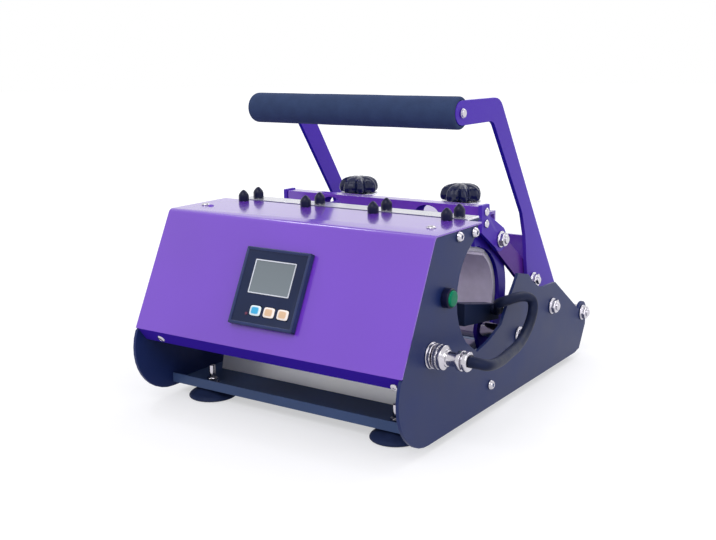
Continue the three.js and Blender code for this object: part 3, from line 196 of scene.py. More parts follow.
def grained(name, colour, grain, drift, tones, relief, roughness, **sockets):
    """A fine grain in relief under a slow drift of tone, from tones[0] to tones[1] times the colour. The
    roughness is one number, or the two that the drift runs between."""
    material, tree, shader, place = start_material(name)
    slow = noise(tree, place, *drift)
    tint = toned(tree, slow, colour, *tones)
    if isinstance(roughness, tuple):
        roughness = spread(tree, slow, *roughness)
    connect(tree, shader, Base_Color=tint, Roughness=roughness,
            Normal=bump(tree, noise(tree, place, *grain), *relief), **sockets)
    return material


def powder_coat(name, colour):
    """Polyester powder coat baked on steel: satin, with the fine orange peel that baking leaves."""
    return grained(name, colour, (0.0009, 2.0), (0.06, 2.0), (0.92, 1.1), (0.00004, 0.5), (0.38, 0.47),
                   IOR=1.5, Specular_IOR_Level=0.26)


def gloss_paint(name, colour, roughness=0.26, coat=0.8, shine=0.5):
    """Gloss powder coat under a clear layer: deep colour and a soft mirror with slight orange peel. Faces
    that look down get painted shade: a darker, bluer colour, and neither specular nor clear layer."""
    material, tree, shader, place = start_material(name)
    peel = noise(tree, place, 0.004, 1.0)
    cloud = noise(tree, place, 0.12, 1.0)
    facing = add_node(tree, "ShaderNodeTexCoord").outputs["Normal"]
    upward = add_node(tree, "ShaderNodeSeparateXYZ", {"Vector": facing}).outputs["Z"]
    unshaded_share = spread(tree, upward, 0.0, 1.0, -0.45, -0.15)
    tint = toned(tree, cloud, colour, 0.96, 1.05)
    # Painted shade: faces that look down are drawn darker and bluer, and reflect nothing.
    shaded_colour = np.array(colour) * (0.3, 0.5, 0.75)
    deep = two_tone(tree, unshaded_share, shaded_colour, colour, 0.0, 1.0)
    shaded_tint = add_node(tree, "ShaderNodeMixRGB", {"Fac": unshaded_share, "Color1": deep, "Color2": tint}).outputs["Color"]
    connect(tree, shader, Base_Color=shaded_tint, Roughness=roughness, IOR=1.5,
            Specular_IOR_Level=spread(tree, unshaded_share, 0.0, shine, 0.0, 1.0),
            Coat_Weight=spread(tree, unshaded_share, 0.0, coat, 0.0, 1.0), Coat_Roughness=0.1,
            Normal=bump(tree, peel, 0.00004, 0.35))
    return material


def chrome_plate(name, colour):
    """Nickel-chrome plated steel: a bright mirror, faintly hazed by handling."""
    material, tree, shader, place = start_material(name)
    haze = noise(tree, place, 0.004, 2.0)
    connect(tree, shader, Base_Color=rgba(colour), Metallic=1.0, Roughness=spread(tree, haze, 0.09, 0.2),
            Normal=bump(tree, haze, 0.00003, 0.3))
    return material


def rolled_sheet(name, colour, roughness=0.34, metallic=0.85):
    """Cold-rolled stainless sheet: long fine roll lines across the width and a soft sheen."""
    material, tree, shader, place = start_material(name)
    lines = noise(tree, place, 0.0012, 3.0, stretch=(0.04, 1.0, 1.0))
    stain = noise(tree, place, 0.05, 2.0)
    tint = toned(tree, stain, colour, 0.93, 1.04)
    connect(tree, shader, Base_Color=tint, Metallic=metallic,
            Roughness=spread(tree, lines, roughness - 0.04, roughness + 0.05),
            Normal=bump(tree, lines, 0.00002, 0.15))
    return material


def moulded_rubber(name, colour, roughness=0.6, grain=0.0012):
    """Moulded or extruded rubber: matt, with a faint bloom and a fine skin."""
    return grained(name, colour, (grain, 3.0), (0.012, 3.0), (0.85, 1.25), (0.00005, 0.5),
                   (roughness - 0.06, roughness + 0.08), IOR=1.5, Specular_IOR_Level=0.15)


def nitrile_foam(name, colour, cell=0.0013):
    """Closed-cell nitrile foam sleeve: no gloss, a pitted skin of small cells, light on its raised walls."""
    material, tree, shader, place = start_material(name)
    cells = add_node(tree, "ShaderNodeTexVoronoi", {"Vector": place, "Scale": 1 / cell}).outputs["Distance"]
    drift = noise(tree, place, 0.012, 4.0)
    tint = toned(tree, drift, colour, 0.93, 1.08)
    pits = bump(tree, cells, 0.0003, 0.6)
    connect(tree, shader, Base_Color=tint, Roughness=0.92, Specular_IOR_Level=0.3,
            Normal=bump(tree, drift, 0.0002, 0.25, pits))
    return material


def silicone_mat(name, colour, weave=0.0022):
    """Silicone rubber cured over glass cloth: satin, with the cloth's square weave showing through.
    The real weave is about 0.8 mm, and it is drawn coarser so that it shows."""
    material, tree, shader, place = start_material(name)
    threads = {"Vector": place, "Scale": WAVE_SCALE / weave, "Distortion": 0.4}
    across, along = (add_node(tree, "ShaderNodeTexWave", threads, bands_direction=axis).outputs["Fac"]
                     for axis in "XZ")
    cloth = add_node(tree, "ShaderNodeMath", {0: across, 1: along}, operation="MAXIMUM").outputs[0]
    stain = noise(tree, place, 0.03, 3.0)
    tint = toned(tree, stain, colour, 0.88, 1.12)
    connect(tree, shader, Base_Color=tint, Roughness=0.55, IOR=1.43, Normal=bump(tree, cloth, 0.0001, 0.5))
    return material


def needled_felt(name, colour):
    """Needled glass-fibre felt: matt, with short tangled fibres."""
    fibres = (0.0016, 6.0, 0.7)
    return grained(name, colour, fibres, fibres, (0.75, 1.1), (0.0005, 0.8), 0.95)


def moulded_plastic(name, colour, roughness=0.45, grain=0.0007, coat=0.0):
    """Injection-moulded plastic: even colour, the fine spark texture of the mould, soft highlights."""
    return grained(name, colour, (grain, 2.0), (0.02, 2.0), (0.93, 1.08), (0.00003, 0.4), roughness,
                   IOR=1.49, Specular_IOR_Level=0.2, Coat_Weight=coat, Coat_Roughness=0.08)


def display_window(name, colour):
    """Unlit liquid-crystal display behind a clear window: greenish grey, a little darker at its top as
    painted shade.
    """
    material, tree, shader, place = start_material(name)
    height = add_node(tree, "ShaderNodeSeparateXYZ", {"Vector": place}).outputs["Z"]
    bottom, top = low("controller_screen")[2], high("controller_screen")[2]
    # Painted shade: 1.02 times the colour at the bottom, down to 0.9 times at the top.
    tint = toned(tree, spread(tree, height, 0.0, 1.0, bottom, top), colour, 1.02, 0.9, 0.0, 1.0)
    connect(tree, shader, Base_Color=tint, Roughness=0.32, IOR=1.5, Coat_Weight=0.1, Coat_Roughness=0.05)
    return material


def key_rubber(name, colour, rim):
    """Silicone keypad button: a tinted middle that fades to a pale rim."""
    material, tree, shader, place = start_material(name)
    shape = add_node(tree, "ShaderNodeUVMap", uv_map="UVMap").outputs["UV"]
    parts = add_node(tree, "ShaderNodeSeparateXYZ", {"Vector": shape})
    tint = two_tone(tree, parts.outputs["Y"], linear(rim), colour, 0.42, 0.78)
    skin = noise(tree, place, 0.0008, 2.0)
    connect(tree, shader, Base_Color=tint, Roughness=0.5, IOR=1.45, Normal=bump(tree, skin, 0.00003, 0.4))
    return material


def lens_plastic(name, colour):
    """Clear tinted acrylic lens cap: glossy, with faint ribs moulded across it."""
    material, tree, shader, place = start_material(name)
    rib_pitch = 0.0016
    ribs = add_node(tree, "ShaderNodeTexWave", {"Vector": place, "Scale": WAVE_SCALE / rib_pitch},
                    bands_direction="Y").outputs["Fac"]
    tint = toned(tree, ribs, colour, 0.8, 1.15, 0.0, 1.0)
    connect(tree, shader, Base_Color=tint, Roughness=0.3, IOR=1.49, Specular_IOR_Level=0.1,
            Normal=bump(tree, ribs, 0.0001, 0.4))
    return material


# Sizes and colours that a user may change

def length_value(name, description, millimetres):
    """A length property, written in millimetres."""
    return FloatProperty(name=name, description=description, default=millimetres * MM, unit="LENGTH")


def count_value(name, description, default, fewest, most):
    """A whole-number property."""
    return IntProperty(name=name, description=description, default=default, min=fewest, max=most)


def colour_value(name, description, code):
    """A colour property, written as an sRGB hex value."""
    return FloatVectorProperty(
        name=name, description=description, subtype="COLOR", default=linear(code), min=0, max=1)


class PressSizes(bpy.types.PropertyGroup):
    """Sizes of the finished surfaces."""

    sheet_edge: length_value("Sheet edge", "Width of the broken edge on cut sheet metal", 0.35)
    turned_edge: length_value("Turned edge", "Radius on the corners of turned and plated pieces", 0.45)
    lead_diameter: length_value("Lead", "Outside diameter of the heater lead", 9.6)
    knob_lobes: count_value("Knob lobes", "Lobes round each star knob", 7, 3, 12)
    knurl_ribs: count_value("Knurl ribs", "Ribs round the plug's coupling ring", 30, 8, 48)


class PressColours(bpy.types.PropertyGroup):
    """Colours of the finished surfaces."""

    cover: colour_value("Cover", "Gloss paint of the front cover", "#6E35C4")
    handle: colour_value("Handle", "Gloss paint of the handle's arms and the clamp's ears", "#5230BA")
    body: colour_value("Body", "Powder coat of the side plates and the top frame", "#18285C")
    foam: colour_value("Foam", "Foam of the grip", "#2E3E62")
    mat: colour_value("Mat", "Silicone of the heating mat", "#DDD5E8")
    lens: colour_value("Button", "Lens of the push button", "#007F5C")


# Each finish: the function that makes it, its colour as a hex value or as the name of a user's colour,
# and whatever else that function takes.
FINISHES = {
    "gloss_powder_coat_purple": (gloss_paint, "cover"),
    "gloss_powder_coat_violet": (gloss_paint, "handle", 0.34, 0.04, 0.1),
    "gloss_powder_coat_plum": (gloss_paint, "#5A2597", 0.34, 0.04, 0.1),
    # A darker, bluer copy of the violet paint for the clamp's end plates: painted shade.
    "gloss_powder_coat_indigo": (gloss_paint, "#35209E", 0.34, 0.04, 0.15),
    "powder_coat_black": (powder_coat, "body"),
    "powder_coat_slate": (powder_coat, "#3E527C"),
    "chrome_plated_steel": (chrome_plate, "#C6C3CB"),
    "rolled_stainless_sheet": (rolled_sheet, "#B9BDCA"),
    # Near white, paler than bare steel: painted light on the heat shield.
    "bright_rolled_sheet": (rolled_sheet, "#F8F8FF", 0.32, 0.3),
    "bright_aluminium_strip": (rolled_sheet, "#D9D9E2", 0.25),
    "moulded_rubber_black": (moulded_rubber, "#1F2A4C"),
    "extruded_silicone_lead": (moulded_rubber, "#141C38", 0.5, 0.002),
    "nitrile_foam": (nitrile_foam, "foam"),
    "silicone_heating_mat": (silicone_mat, "mat"),
    "needled_felt": (needled_felt, "#E2E0EA"),
    "moulded_abs_black": (moulded_plastic, "#1B2646", 0.36),
    "moulded_abs_slate": (moulded_plastic, "#2C3863", 0.3),
    "moulded_nylon_black": (moulded_plastic, "#121534", 0.32),
    "phenolic_black": (moulded_plastic, "#101A44", 0.14, 0.002, 0.35),
    "liquid_crystal_display": (display_window, "#757F87"),
    "white_moulded_rim": (moulded_plastic, "#DADDE8", 0.4),
    "acrylic_lens_green": (lens_plastic, "lens"),
    "silicone_key_blue": (key_rubber, "#3DAEE0", "#EAF6FC"),
    "silicone_key_orange": (key_rubber, "#E3BE9C", "#FFF3EE"),
    "indicator_lens_red": (moulded_plastic, "#6A3350", 0.25, 0.001, 0.4),
}
MATERIALS = {}


def finish_of(name):
    """The shared material of that name, made when it is first asked for."""
    if name not in MATERIALS:
        make, colour, *rest = FINISHES[name]
        if colour.startswith("#"):
            colour = linear(colour)
        else:
            colour = getattr(bpy.context.scene.press_colours, colour)
        MATERIALS[name] = make(name, colour, *rest)
    return MATERIALS[name]


# Meshes

def keep(piece, body, slot, finish, *nodes):
    """Gives a piece its material and its body, and hides the nodes that it stands for. Its slot is not used.
    """
    piece.data.materials.clear()
    piece.data.materials.append(finish_of(finish))
    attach(piece, body)
    if nodes:
        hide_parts(*nodes)
    return piece


def cleaned(name, mesh, apart, sharp, whole_flats=False):
    """A new piece of a mesh whose points closer than apart are merged, with its faces turned outwards
    and smooth shading up to edges of the angle sharp. Flat faces may be made whole."""
    clean = bmesh.new()
    clean.from_mesh(mesh)
    bmesh.ops.remove_doubles(clean, verts=clean.verts, dist=apart)
    if whole_flats:
        bmesh.ops.dissolve_limit(clean, angle_limit=math.radians(0.6), verts=clean.verts, edges=clean.edges)
    else:
        bmesh.ops.dissolve_degenerate(clean, edges=clean.edges, dist=1e-7)
    bmesh.ops.recalc_face_normals(clean, faces=clean.faces)
    clean.to_mesh(mesh)
    clean.free()
    mesh.polygons.foreach_set("use_smooth", np.ones(len(mesh.polygons), bool))
    mesh.set_sharp_from_angle(angle=math.radians(sharp))
    piece = bpy.data.objects.new(name, mesh)
    bpy.context.scene.collection.objects.link(piece)
    return piece


def closed_surface(name, *grids):
    """One piece from grids of points, rows by columns, whose columns run round and meet again.
    A point's neighbours in the grid make its faces, and the coinciding points of a pole are merged."""
    points, faces, start = [], [], 0
    for grid in grids:
        rows, columns = grid.shape[:2]
        index = np.arange(rows * columns).reshape(rows, columns) + start
        right = np.roll(index, -1, axis=1)
        quads = np.stack([index[:-1], right[:-1], right[1:], index[1:]], axis=-1)
        points.append(grid.reshape(-1, 3))
        faces.append(quads.reshape(-1, 4))
        start += rows * columns
    mesh = bpy.data.meshes.new(name)
    mesh.from_pydata(np.concatenate(points).tolist(), [], np.concatenate(faces).tolist())
    return cleaned(name, mesh, 1e-6, 38)


def plated(name, grids, body, *nodes):
    """A chrome-plated piece from its grids."""
    return keep(closed_surface(name, *grids), body, "chrome", "chrome_plated_steel", *nodes)


def dress(finish, slot, body, *nodes, edge=None, sharp=30):
    """Dresses nodes of one body alike: copies of their solids, with flat faces whole and edges broken."""
    for node in nodes:
        name = f"{node}_finish"
        mesh = NODES[node].data.copy()
        mesh.name = name
        piece = cleaned(name, mesh, 2e-6, sharp, whole_flats=True)
        bevel = piece.modifiers.new("Broken edge", "BEVEL")
        bevel.width = bpy.context.scene.press_sizes.sheet_edge if edge is None else edge
        bevel.segments = 2
        bevel.limit_method = "ANGLE"
        bevel.angle_limit = math.radians(35)
        bevel.harden_normals = True
        keep(piece, body, slot, finish, node)


def filleted(rows, radius):
    """A profile with its corners rounded. Each inner row becomes points of the quadratic curve
    (1-t)^2 a + 2t(1-t) b + t^2 c, where b is the corner and a and c lie up to radius away from it."""
    corner = rows[1:-1]

    def towards(way):
        """The points up to radius along each way, but never past 0.45 of it."""
        size = np.linalg.norm(way[:, :2], axis=1, keepdims=True)
        return corner + way * np.minimum(radius / np.maximum(size, 1e-9), 0.45)

    first, last = towards(rows[:-2] - corner), towards(rows[2:] - corner)
    t = np.linspace(0, 1, 4)[None, :, None]
    curve = (1 - t) ** 2 * first[:, None] + 2 * t * (1 - t) * corner[:, None] + t ** 2 * last[:, None]
    curve[:, :, 2:] = corner[:, None, 2:]
    return np.concatenate([rows[:1], curve.reshape(-1, rows.shape[1]), rows[-1:]])


def turned(rows, centre, direction, sides, ribs=0):
    """A grid of points turned about an axis. Each row holds a radius, a height along the axis, how
    hexagonal it is and how deep its ribs are, or the first two alone. The radius at angle a is the
    row's, drawn in to a hexagon's flats by cos 30 over cos(a mod 60 - 30), less a cosine wave of the
    ribs."""
    rows = np.pad(rows, ((0, 0), (0, 4 - np.shape(rows)[1])))
    angle = np.arange(sides) * 2 * np.pi / sides
    hexagon = np.cos(np.pi / 6) / np.cos(np.mod(angle, np.pi / 3) - np.pi / 6)
    radius = rows[:, :1] * (1 + rows[:, 2:3] * (hexagon - 1)[None])
    radius = radius - rows[:, 3:4] * (0.5 - 0.5 * np.cos(ribs * angle))[None]
    direction = np.asarray(direction, float)
    first = np.array([0.0, 1.0, 0.0]) if abs(direction[1]) < 0.9 else np.array([1.0, 0.0, 0.0])
    first = first - direction * first.dot(direction)
    first /= np.linalg.norm(first)
    second = np.cross(direction, first)
    ring = np.cos(angle)[:, None] * first + np.sin(angle)[:, None] * second
    return np.asarray(centre, float) + rows[:, 1][:, None, None] * direction + radius[..., None] * ring[None]


def in_mm(rows):
    """A profile written in millimetres, as metres. The numbers that a row leaves out are 0, and its
    third, the hexagon's share, stays as it is."""
    return np.array([(*row, *[0] * (4 - len(row))) for row in rows], float) * (MM, MM, 1, MM)


def crosswise(node, rows, corner, sides, start=0.0, side=1, ribs=0):
    """A profile with rounded corners, turned about the crosswise axis through the middle of a node.
    Its heights count from start, in millimetres, towards the side."""
    place = middle(node)
    return turned(filleted(rows, corner), (start * MM, place[1], place[2]), (side, 0, 0), sides, ribs)


def through(points, steps=10):
    """A smooth curve through the points. Between b and c it is the cubic that leaves b along (c-a)/2
    and reaches c along (d-b)/2, with the end points repeated past the ends."""
    ends = np.vstack([2 * points[0] - points[1], points, 2 * points[-1] - points[-2]])
    a, b, c, d = ends[:-3, None], ends[1:-2, None], ends[2:-1, None], ends[3:, None]
    t = np.linspace(0, 1, steps, endpoint=False)[None, :, None]
    curve = 0.5 * (2 * b + (c - a) * t + (2 * a - 5 * b + 4 * c - d) * t ** 2
                   + (3 * b - a - 3 * c + d) * t ** 3)
    return np.vstack([curve.reshape(-1, 3), points[-1:]])


# Pieces

class PressOperator(bpy.types.Operator):
    """Shared settings of the press's operators."""

    bl_options = {"REGISTER", "UNDO"}


class PRESS_OT_camera(PressOperator):
    """Places the camera at the photographed viewpoint."""

    bl_idname = "press.camera"
    bl_label = "Camera"

    def execute(self, context):
        place = (0.5618, -0.85875, 0.33876)
        azimuth, elevation, roll = (math.radians(a) for a in (34.20, 12.30, -0.686))
        image_width, focal_pixels = 716, 1024.86
        lens = bpy.data.cameras.new("camera")
        lens.sensor_width = 36
        lens.lens = focal_pixels / image_width * lens.sensor_width
        lens.clip_start, lens.clip_end = 0.05, 20
        camera = bpy.data.objects.new("camera", lens)
        camera.matrix_world = (
            Matrix.Translation(place) @ Matrix.Rotation(azimuth, 4, "Z")
            @ Matrix.Rotation(math.pi / 2 - elevation, 4, "X") @ Matrix.Rotation(roll, 4, "Z"))
        context.scene.collection.objects.link(camera)
        context.scene.camera = camera
        return {"FINISHED"}


# The lead's course, in millimetres across, back from the plates' front edge and up.
LEAD_ROUTE = (
    (186.9, 52, 86), (194.5, 52, 86), (200, 56.6, 84.3), (198, 74.4, 80.6), (192, 100.6, 76.5),
    (184.5, 129.4, 73.2), (177.5, 158, 70.2), (173, 179.5, 71.6), (170.5, 195, 76.4), (168.8, 207, 83),
    (167.4, 214.6, 90.2), (166.2, 217.2, 97), (164.6, 215, 102.2), (162.2, 206.5, 105.8),
    (158.7, 195.5, 106.4), (154.3, 188, 105), (148.5, 186, 102.6), (142, 192.5, 99), (138, 201.5, 93),
    (134, 208.5, 88.5), (131.3, 210, 87.4), (127.3, 210, 87.4),
)


class PRESS_OT_heater_lead(PressOperator):
    """Lays the heater lead from its plug, along the side plate and in to the terminal block."""

    bl_idname = "press.heater_lead"
    bl_label = "Heater lead"

    def execute(self, context):
        sizes = context.scene.press_sizes
        points = through(np.array(LEAD_ROUTE) * MM + (0, FRONT_Y, 0))
        line = bpy.data.curves.new("heater_lead_sleeve", "CURVE")
        line.dimensions = "3D"
        line.bevel_depth = sizes.lead_diameter / 2
        line.bevel_resolution = 6
        line.use_fill_caps = True
        spline = line.splines.new("POLY")
        spline.points.add(len(points) - 1)
        spline.points.foreach_set("co", np.hstack([points, np.ones((len(points), 1))]).ravel())
        lead = bpy.data.objects.new("heater_lead_sleeve", line)
        context.scene.collection.objects.link(lead)
        keep(lead, "frame", "rubber", "extruded_silicone_lead", "heater_lead")
        plug = self.plug(sizes.knurl_ribs)
        return {"FINISHED"}

    @staticmethod
    def plug(ribs):
        """The plated plug: a ribbed coupling ring, a plain barrel and two clamp rings at its rear."""
        start, end = reach_x("heater_plug")
        long = end - start
        ring, barrel, neck = 10.8, 6.2, 8.6
        rows = in_mm([
            (0, 0), (ring - 1.4, 0), (ring, 1.4), (ring, 1.6, 0, 0.5), (ring, 4.6, 0, 0.5), (ring - 1.2, 4.7),
            (ring - 1.2, 5.6), (ring - 0.2, 5.8), (ring - 0.3, 8.8), (barrel + 1.2, 10.6), (barrel + 1.0, 12),
            (barrel, 12.4), (barrel, 21.8), (neck, 22.1), (neck, 25.8), (barrel, 26.1), (barrel, 27.4),
            (neck, 27.6, 0.35), (neck, long - 0.8, 0.35), (neck - 1.5, long), (0, long)])
        grid = crosswise("heater_plug", rows, 0.3 * MM, 120, start, ribs=ribs)
        return plated("heater_plug_shell", [grid], "frame", "heater_plug")


class PRESS_OT_heater_socket(PressOperator):
    """Makes the plated socket and its nut on the right side plate."""

    bl_idname = "press.heater_socket"
    bl_label = "Heater socket"

    def execute(self, context):
        start, end = reach_x("heater_socket")
        long = end - start
        nut = long - 4
        rows = in_mm([
            (0, 0), (7, 0), (7, nut), (11.5, nut), (11.5, nut + 0.8), (11.2, nut + 0.9, 0.5),
            (11.2, long - 0.5, 0.5), (10.4, long), (0, long)])
        plated("heater_socket_nut", [crosswise("heater_socket", rows, 0.25 * MM, 60, start)], "frame",
               "heater_socket")
        return {"FINISHED"}


class PRESS_OT_body(PressOperator):
    """Dresses the side plates, the top frame, the pan and the heat shield."""

    bl_idname = "press.body"
    bl_label = "Body"

    def execute(self, context):
        dress("powder_coat_black", "black_powder_coat", "frame", "side_plate_left", "side_plate_right",
              "top_frame")
        dress("powder_coat_slate", "black_powder_coat", "frame", "base_pan")
        # The heat shield's near-white sheet is painted light.
        dress("bright_rolled_sheet", "bare_steel", "frame", "heat_shield", edge=0.2 * MM)
        return {"FINISHED"}


class PRESS_OT_feet(PressOperator):
    """Makes the four rubber cup feet, and their plated studs with nuts that stand through the pan. A cup
    is a flat rim, a shallow hollow and a bell that rises to the neck."""

    bl_idname = "press.feet"
    bl_label = "Feet"

    def execute(self, context):
        cup = filleted(in_mm([
            (0, 2.2), (15.6, 2.2), (18, 0), (22.9, 0), (24, 1.1), (23.6, 2.6), (21.5, 4.6), (16, 7.4),
            (11, 9.4), (9, 11.2), (0, 11.2)]), 1.2 * MM)
        for node in ("foot_front_left", "foot_front_right", "foot_rear_left", "foot_rear_right"):
            x, y, _ = middle(node)
            rubber = closed_surface(f"{node}_rubber", turned(cup, (x, y, 0), (0, 0, 1), 64))
            keep(rubber, "frame", "rubber", "moulded_rubber_black", node)
            top = high(node)[2] / MM
            stud = in_mm([
                (0, 9), (3, 9), (3, 13.1), (7, 13.1), (7, 14.2), (5.4, 14.3, 1), (5.4, 18.4, 1),
                (4.8, 18.9, 0.4), (3.1, 19), (3.1, top - 0.8), (2.3, top), (0, top)])
            plated(f"{node}_stud", [turned(filleted(stud, 0.3 * MM), (x, y, 0), (0, 0, 1), 36)], "frame")
        return {"FINISHED"}


class PRESS_OT_cover(PressOperator):
    """Dresses the front cover."""

    bl_idname = "press.cover"
    bl_label = "Front cover"

    def execute(self, context):
        dress("gloss_powder_coat_purple", "purple_paint", "frame", "front_cover", edge=0.5 * MM)
        return {"FINISHED"}


class PRESS_OT_cap_nuts(PressOperator):
    """Makes the mat strip and the two rows of pointed black cap nuts."""

    bl_idname = "press.cap_nuts"
    bl_label = "Cap nuts"

    def execute(self, context):
        dress("bright_aluminium_strip", "chrome", "frame", "mat_strip", edge=0.25 * MM)
        nut = filleted(in_mm([
            (0, 0.05), (5.35, 0.05, 0.45), (5.35, 5.6, 0.45), (4.7, 7.4, 0.3), (3.2, 9.4, 0.2),
            (1.5, 11), (0, 11.6)]), 0.35 * MM)
        # The strip's solid carries its own nuts, 11 mm high.
        pitch, strip_top = 79 * MM, high("mat_strip")[2] - 11 * MM
        for name, back, z in (("front", 133.5 * MM, TOP_Z), ("back", 157 * MM, strip_top)):
            grids = [turned(nut, (place * pitch, FRONT_Y + back, z), (0, 0, 1), 36)
                     for place in (-1.5, -0.5, 0.5, 1.5)]
            keep(closed_surface(f"cap_nuts_{name}", *grids), "frame", "black_plastic", "moulded_nylon_black")
        return {"FINISHED"}


# Where the screws stand, in millimetres back from the plates' front edge and up, or across, back and up.
PLATE_SCREWS = ((97.565, 179.33), (125.49, 178.83), (161.0, 29.03), (199.99, 50.07))
COVER_SCREWS = ((-134, 93, TOP_Z / MM), (127, 91, TOP_Z / MM))
FLANGE_SCREWS = ((-123.4, 12, 69.2), (139.2, 12, 67.6))
FLANGE_FACES = (0, -0.793, -0.61)


class PRESS_OT_screws(PressOperator):
    """Makes the plated screws of the side plates, of the cover's top and of its return flange."""

    bl_idname = "press.screws"
    bl_label = "Screws"

    def execute(self, context):
        plate_head = self.head(4.65, 4.0, 2.0, 0.3)
        flat_head = self.head(4.2, 2.0, 1.6, 0.2)
        grids = [turned(plate_head, (side * HALF_WIDTH, FRONT_Y + y * MM, z * MM), (side, 0, 0), 36)
                 for y, z in PLATE_SCREWS for side in SIDES.values()]
        for screws, faces in ((COVER_SCREWS, (0, 0, 1)), (FLANGE_SCREWS, FLANGE_FACES)):
            grids += [turned(flat_head, (x * MM, FRONT_Y + y * MM, z * MM), faces, 30) for x, y, z in screws]
        plated("plate_screw_heads", grids, "frame")
        return {"FINISHED"}

    @staticmethod
    def head(radius, height, socket, corner):
        """A domed screw head with a hexagon socket: out along the seat, up and over the dome, then down
        into the socket."""
        return filleted(in_mm([
            (0, 0.1), (radius, 0.1), (radius, height * 0.35), (radius * 0.86, height * 0.75),
            (radius * 0.62, height), (socket, height, 1), (socket * 0.96, height * 0.45, 1),
            (0, height * 0.4)]), corner * MM)


def nut_rows(face, height):
    """A washer on a face, a chamfered hexagon nut on it and the rounded end of its stud, in millimetres."""
    washer, nut, stud = 8.3, 7.2, 4.1
    rows = [
        (washer, 0.3), (washer, 1.7), (nut, 1.75, 1), (nut, height * 0.68, 1),
        (nut * 0.9, height * 0.74, 0.4), (stud, height * 0.76), (stud, height * 0.94),
        (stud * 0.75, height), (0, height)]
    return [(radius, face + up, *rest) for radius, up, *rest in rows]


class PRESS_OT_pivots(PressOperator):
    """Makes the pivot bolts, the pins of the linkage, and the stop rod with its bushes."""

    bl_idname = "press.pivots"
    bl_label = "Pivots"

    def execute(self, context):
        shank, shoulder, gap = 5.0, 8.0, 0.3
        plate_in, plate_out = reach_x("side_plate_right")
        arm_in, arm_out = reach_x("handle_arm_right")
        end_in, end_out = reach_x("clamp_end_right")
        bolt_head, pin_head = arm_in - gap, reach_x("toggle_link_right")[0] - gap

        def to_plate(start):
            """The shank from start on, with a spacer up to the plate, and through the plate."""
            return [(shank, start + gap), (shoulder, start + gap), (shoulder, plate_in - gap),
                    (shank, plate_in - gap), (shank, plate_out + gap)]

        for hand, side in SIDES.items():
            self.bolt(f"handle_pivot_bolt_{hand}", side, "frame", plate_out, [
                (0, bolt_head - 6), (shank, bolt_head - 6), (shank, bolt_head - 4.5),
                (8.5, bolt_head - 4.5, 1), (8.5, bolt_head, 1), (shank, bolt_head), *to_plate(arm_out)])
            self.bolt(f"clamp_pivot_bolt_{hand}", side, "frame", plate_out, [
                (0, end_in), (shank, end_in), *to_plate(end_out)])
            self.bolt(f"ear_pin_{hand}", side, "clamp", arm_out, [
                (0, arm_in), (shank, arm_in), (shank, arm_out + gap)])
            self.bolt(f"arm_pin_{hand}", side, "handle", arm_out, [
                (0, pin_head - 1.5), (6.5, pin_head - 1.5), (6.5, pin_head), (shank, pin_head),
                (shank, arm_out + gap)])
        right = in_mm([(shank, plate_out + gap), *nut_rows(plate_out, reach_x("stop_rod")[1] - plate_out)])
        self.turned_piece("stop_rod", np.vstack([right[::-1] * (1, -1, 1, 1), right]), "frame")
        self.bushes()
        return {"FINISHED"}

    @staticmethod
    def turned_piece(node, rows, body, side=1):
        """A plated piece in place of its node."""
        grid = crosswise(node, rows, bpy.context.scene.press_sizes.turned_edge, 48, side=side)
        plated(f"{node}_plated", [grid], body, node)

    def bolt(self, node, side, body, face, shank):
        """A bolt: its shank's profile as given, then its washer, nut and stud outside a face."""
        outer = max(side * x for x in reach_x(node))
        self.turned_piece(node, in_mm(shank + nut_rows(face, outer - face)), body, side)

    @staticmethod
    def bushes():
        """Rubber bushes on the stop rod, with a rounded lip and a shallow waist."""
        for hand, side in SIDES.items():
            node = f"stop_bush_{hand}"
            near, far = sorted(side * x for x in reach_x(node))
            rows = in_mm([
                (5.3, near), (8.8, near), (10, near + 1.4), (10, far - 3), (9.6, far - 2), (10, far - 1),
                (10, far), (5.3, far), (5.3, near)])
            bush = closed_surface(f"{node}_rubber", crosswise(node, rows, 0.6 * MM, 40, side=side))
            keep(bush, "frame", "rubber", "moulded_rubber_black", node)


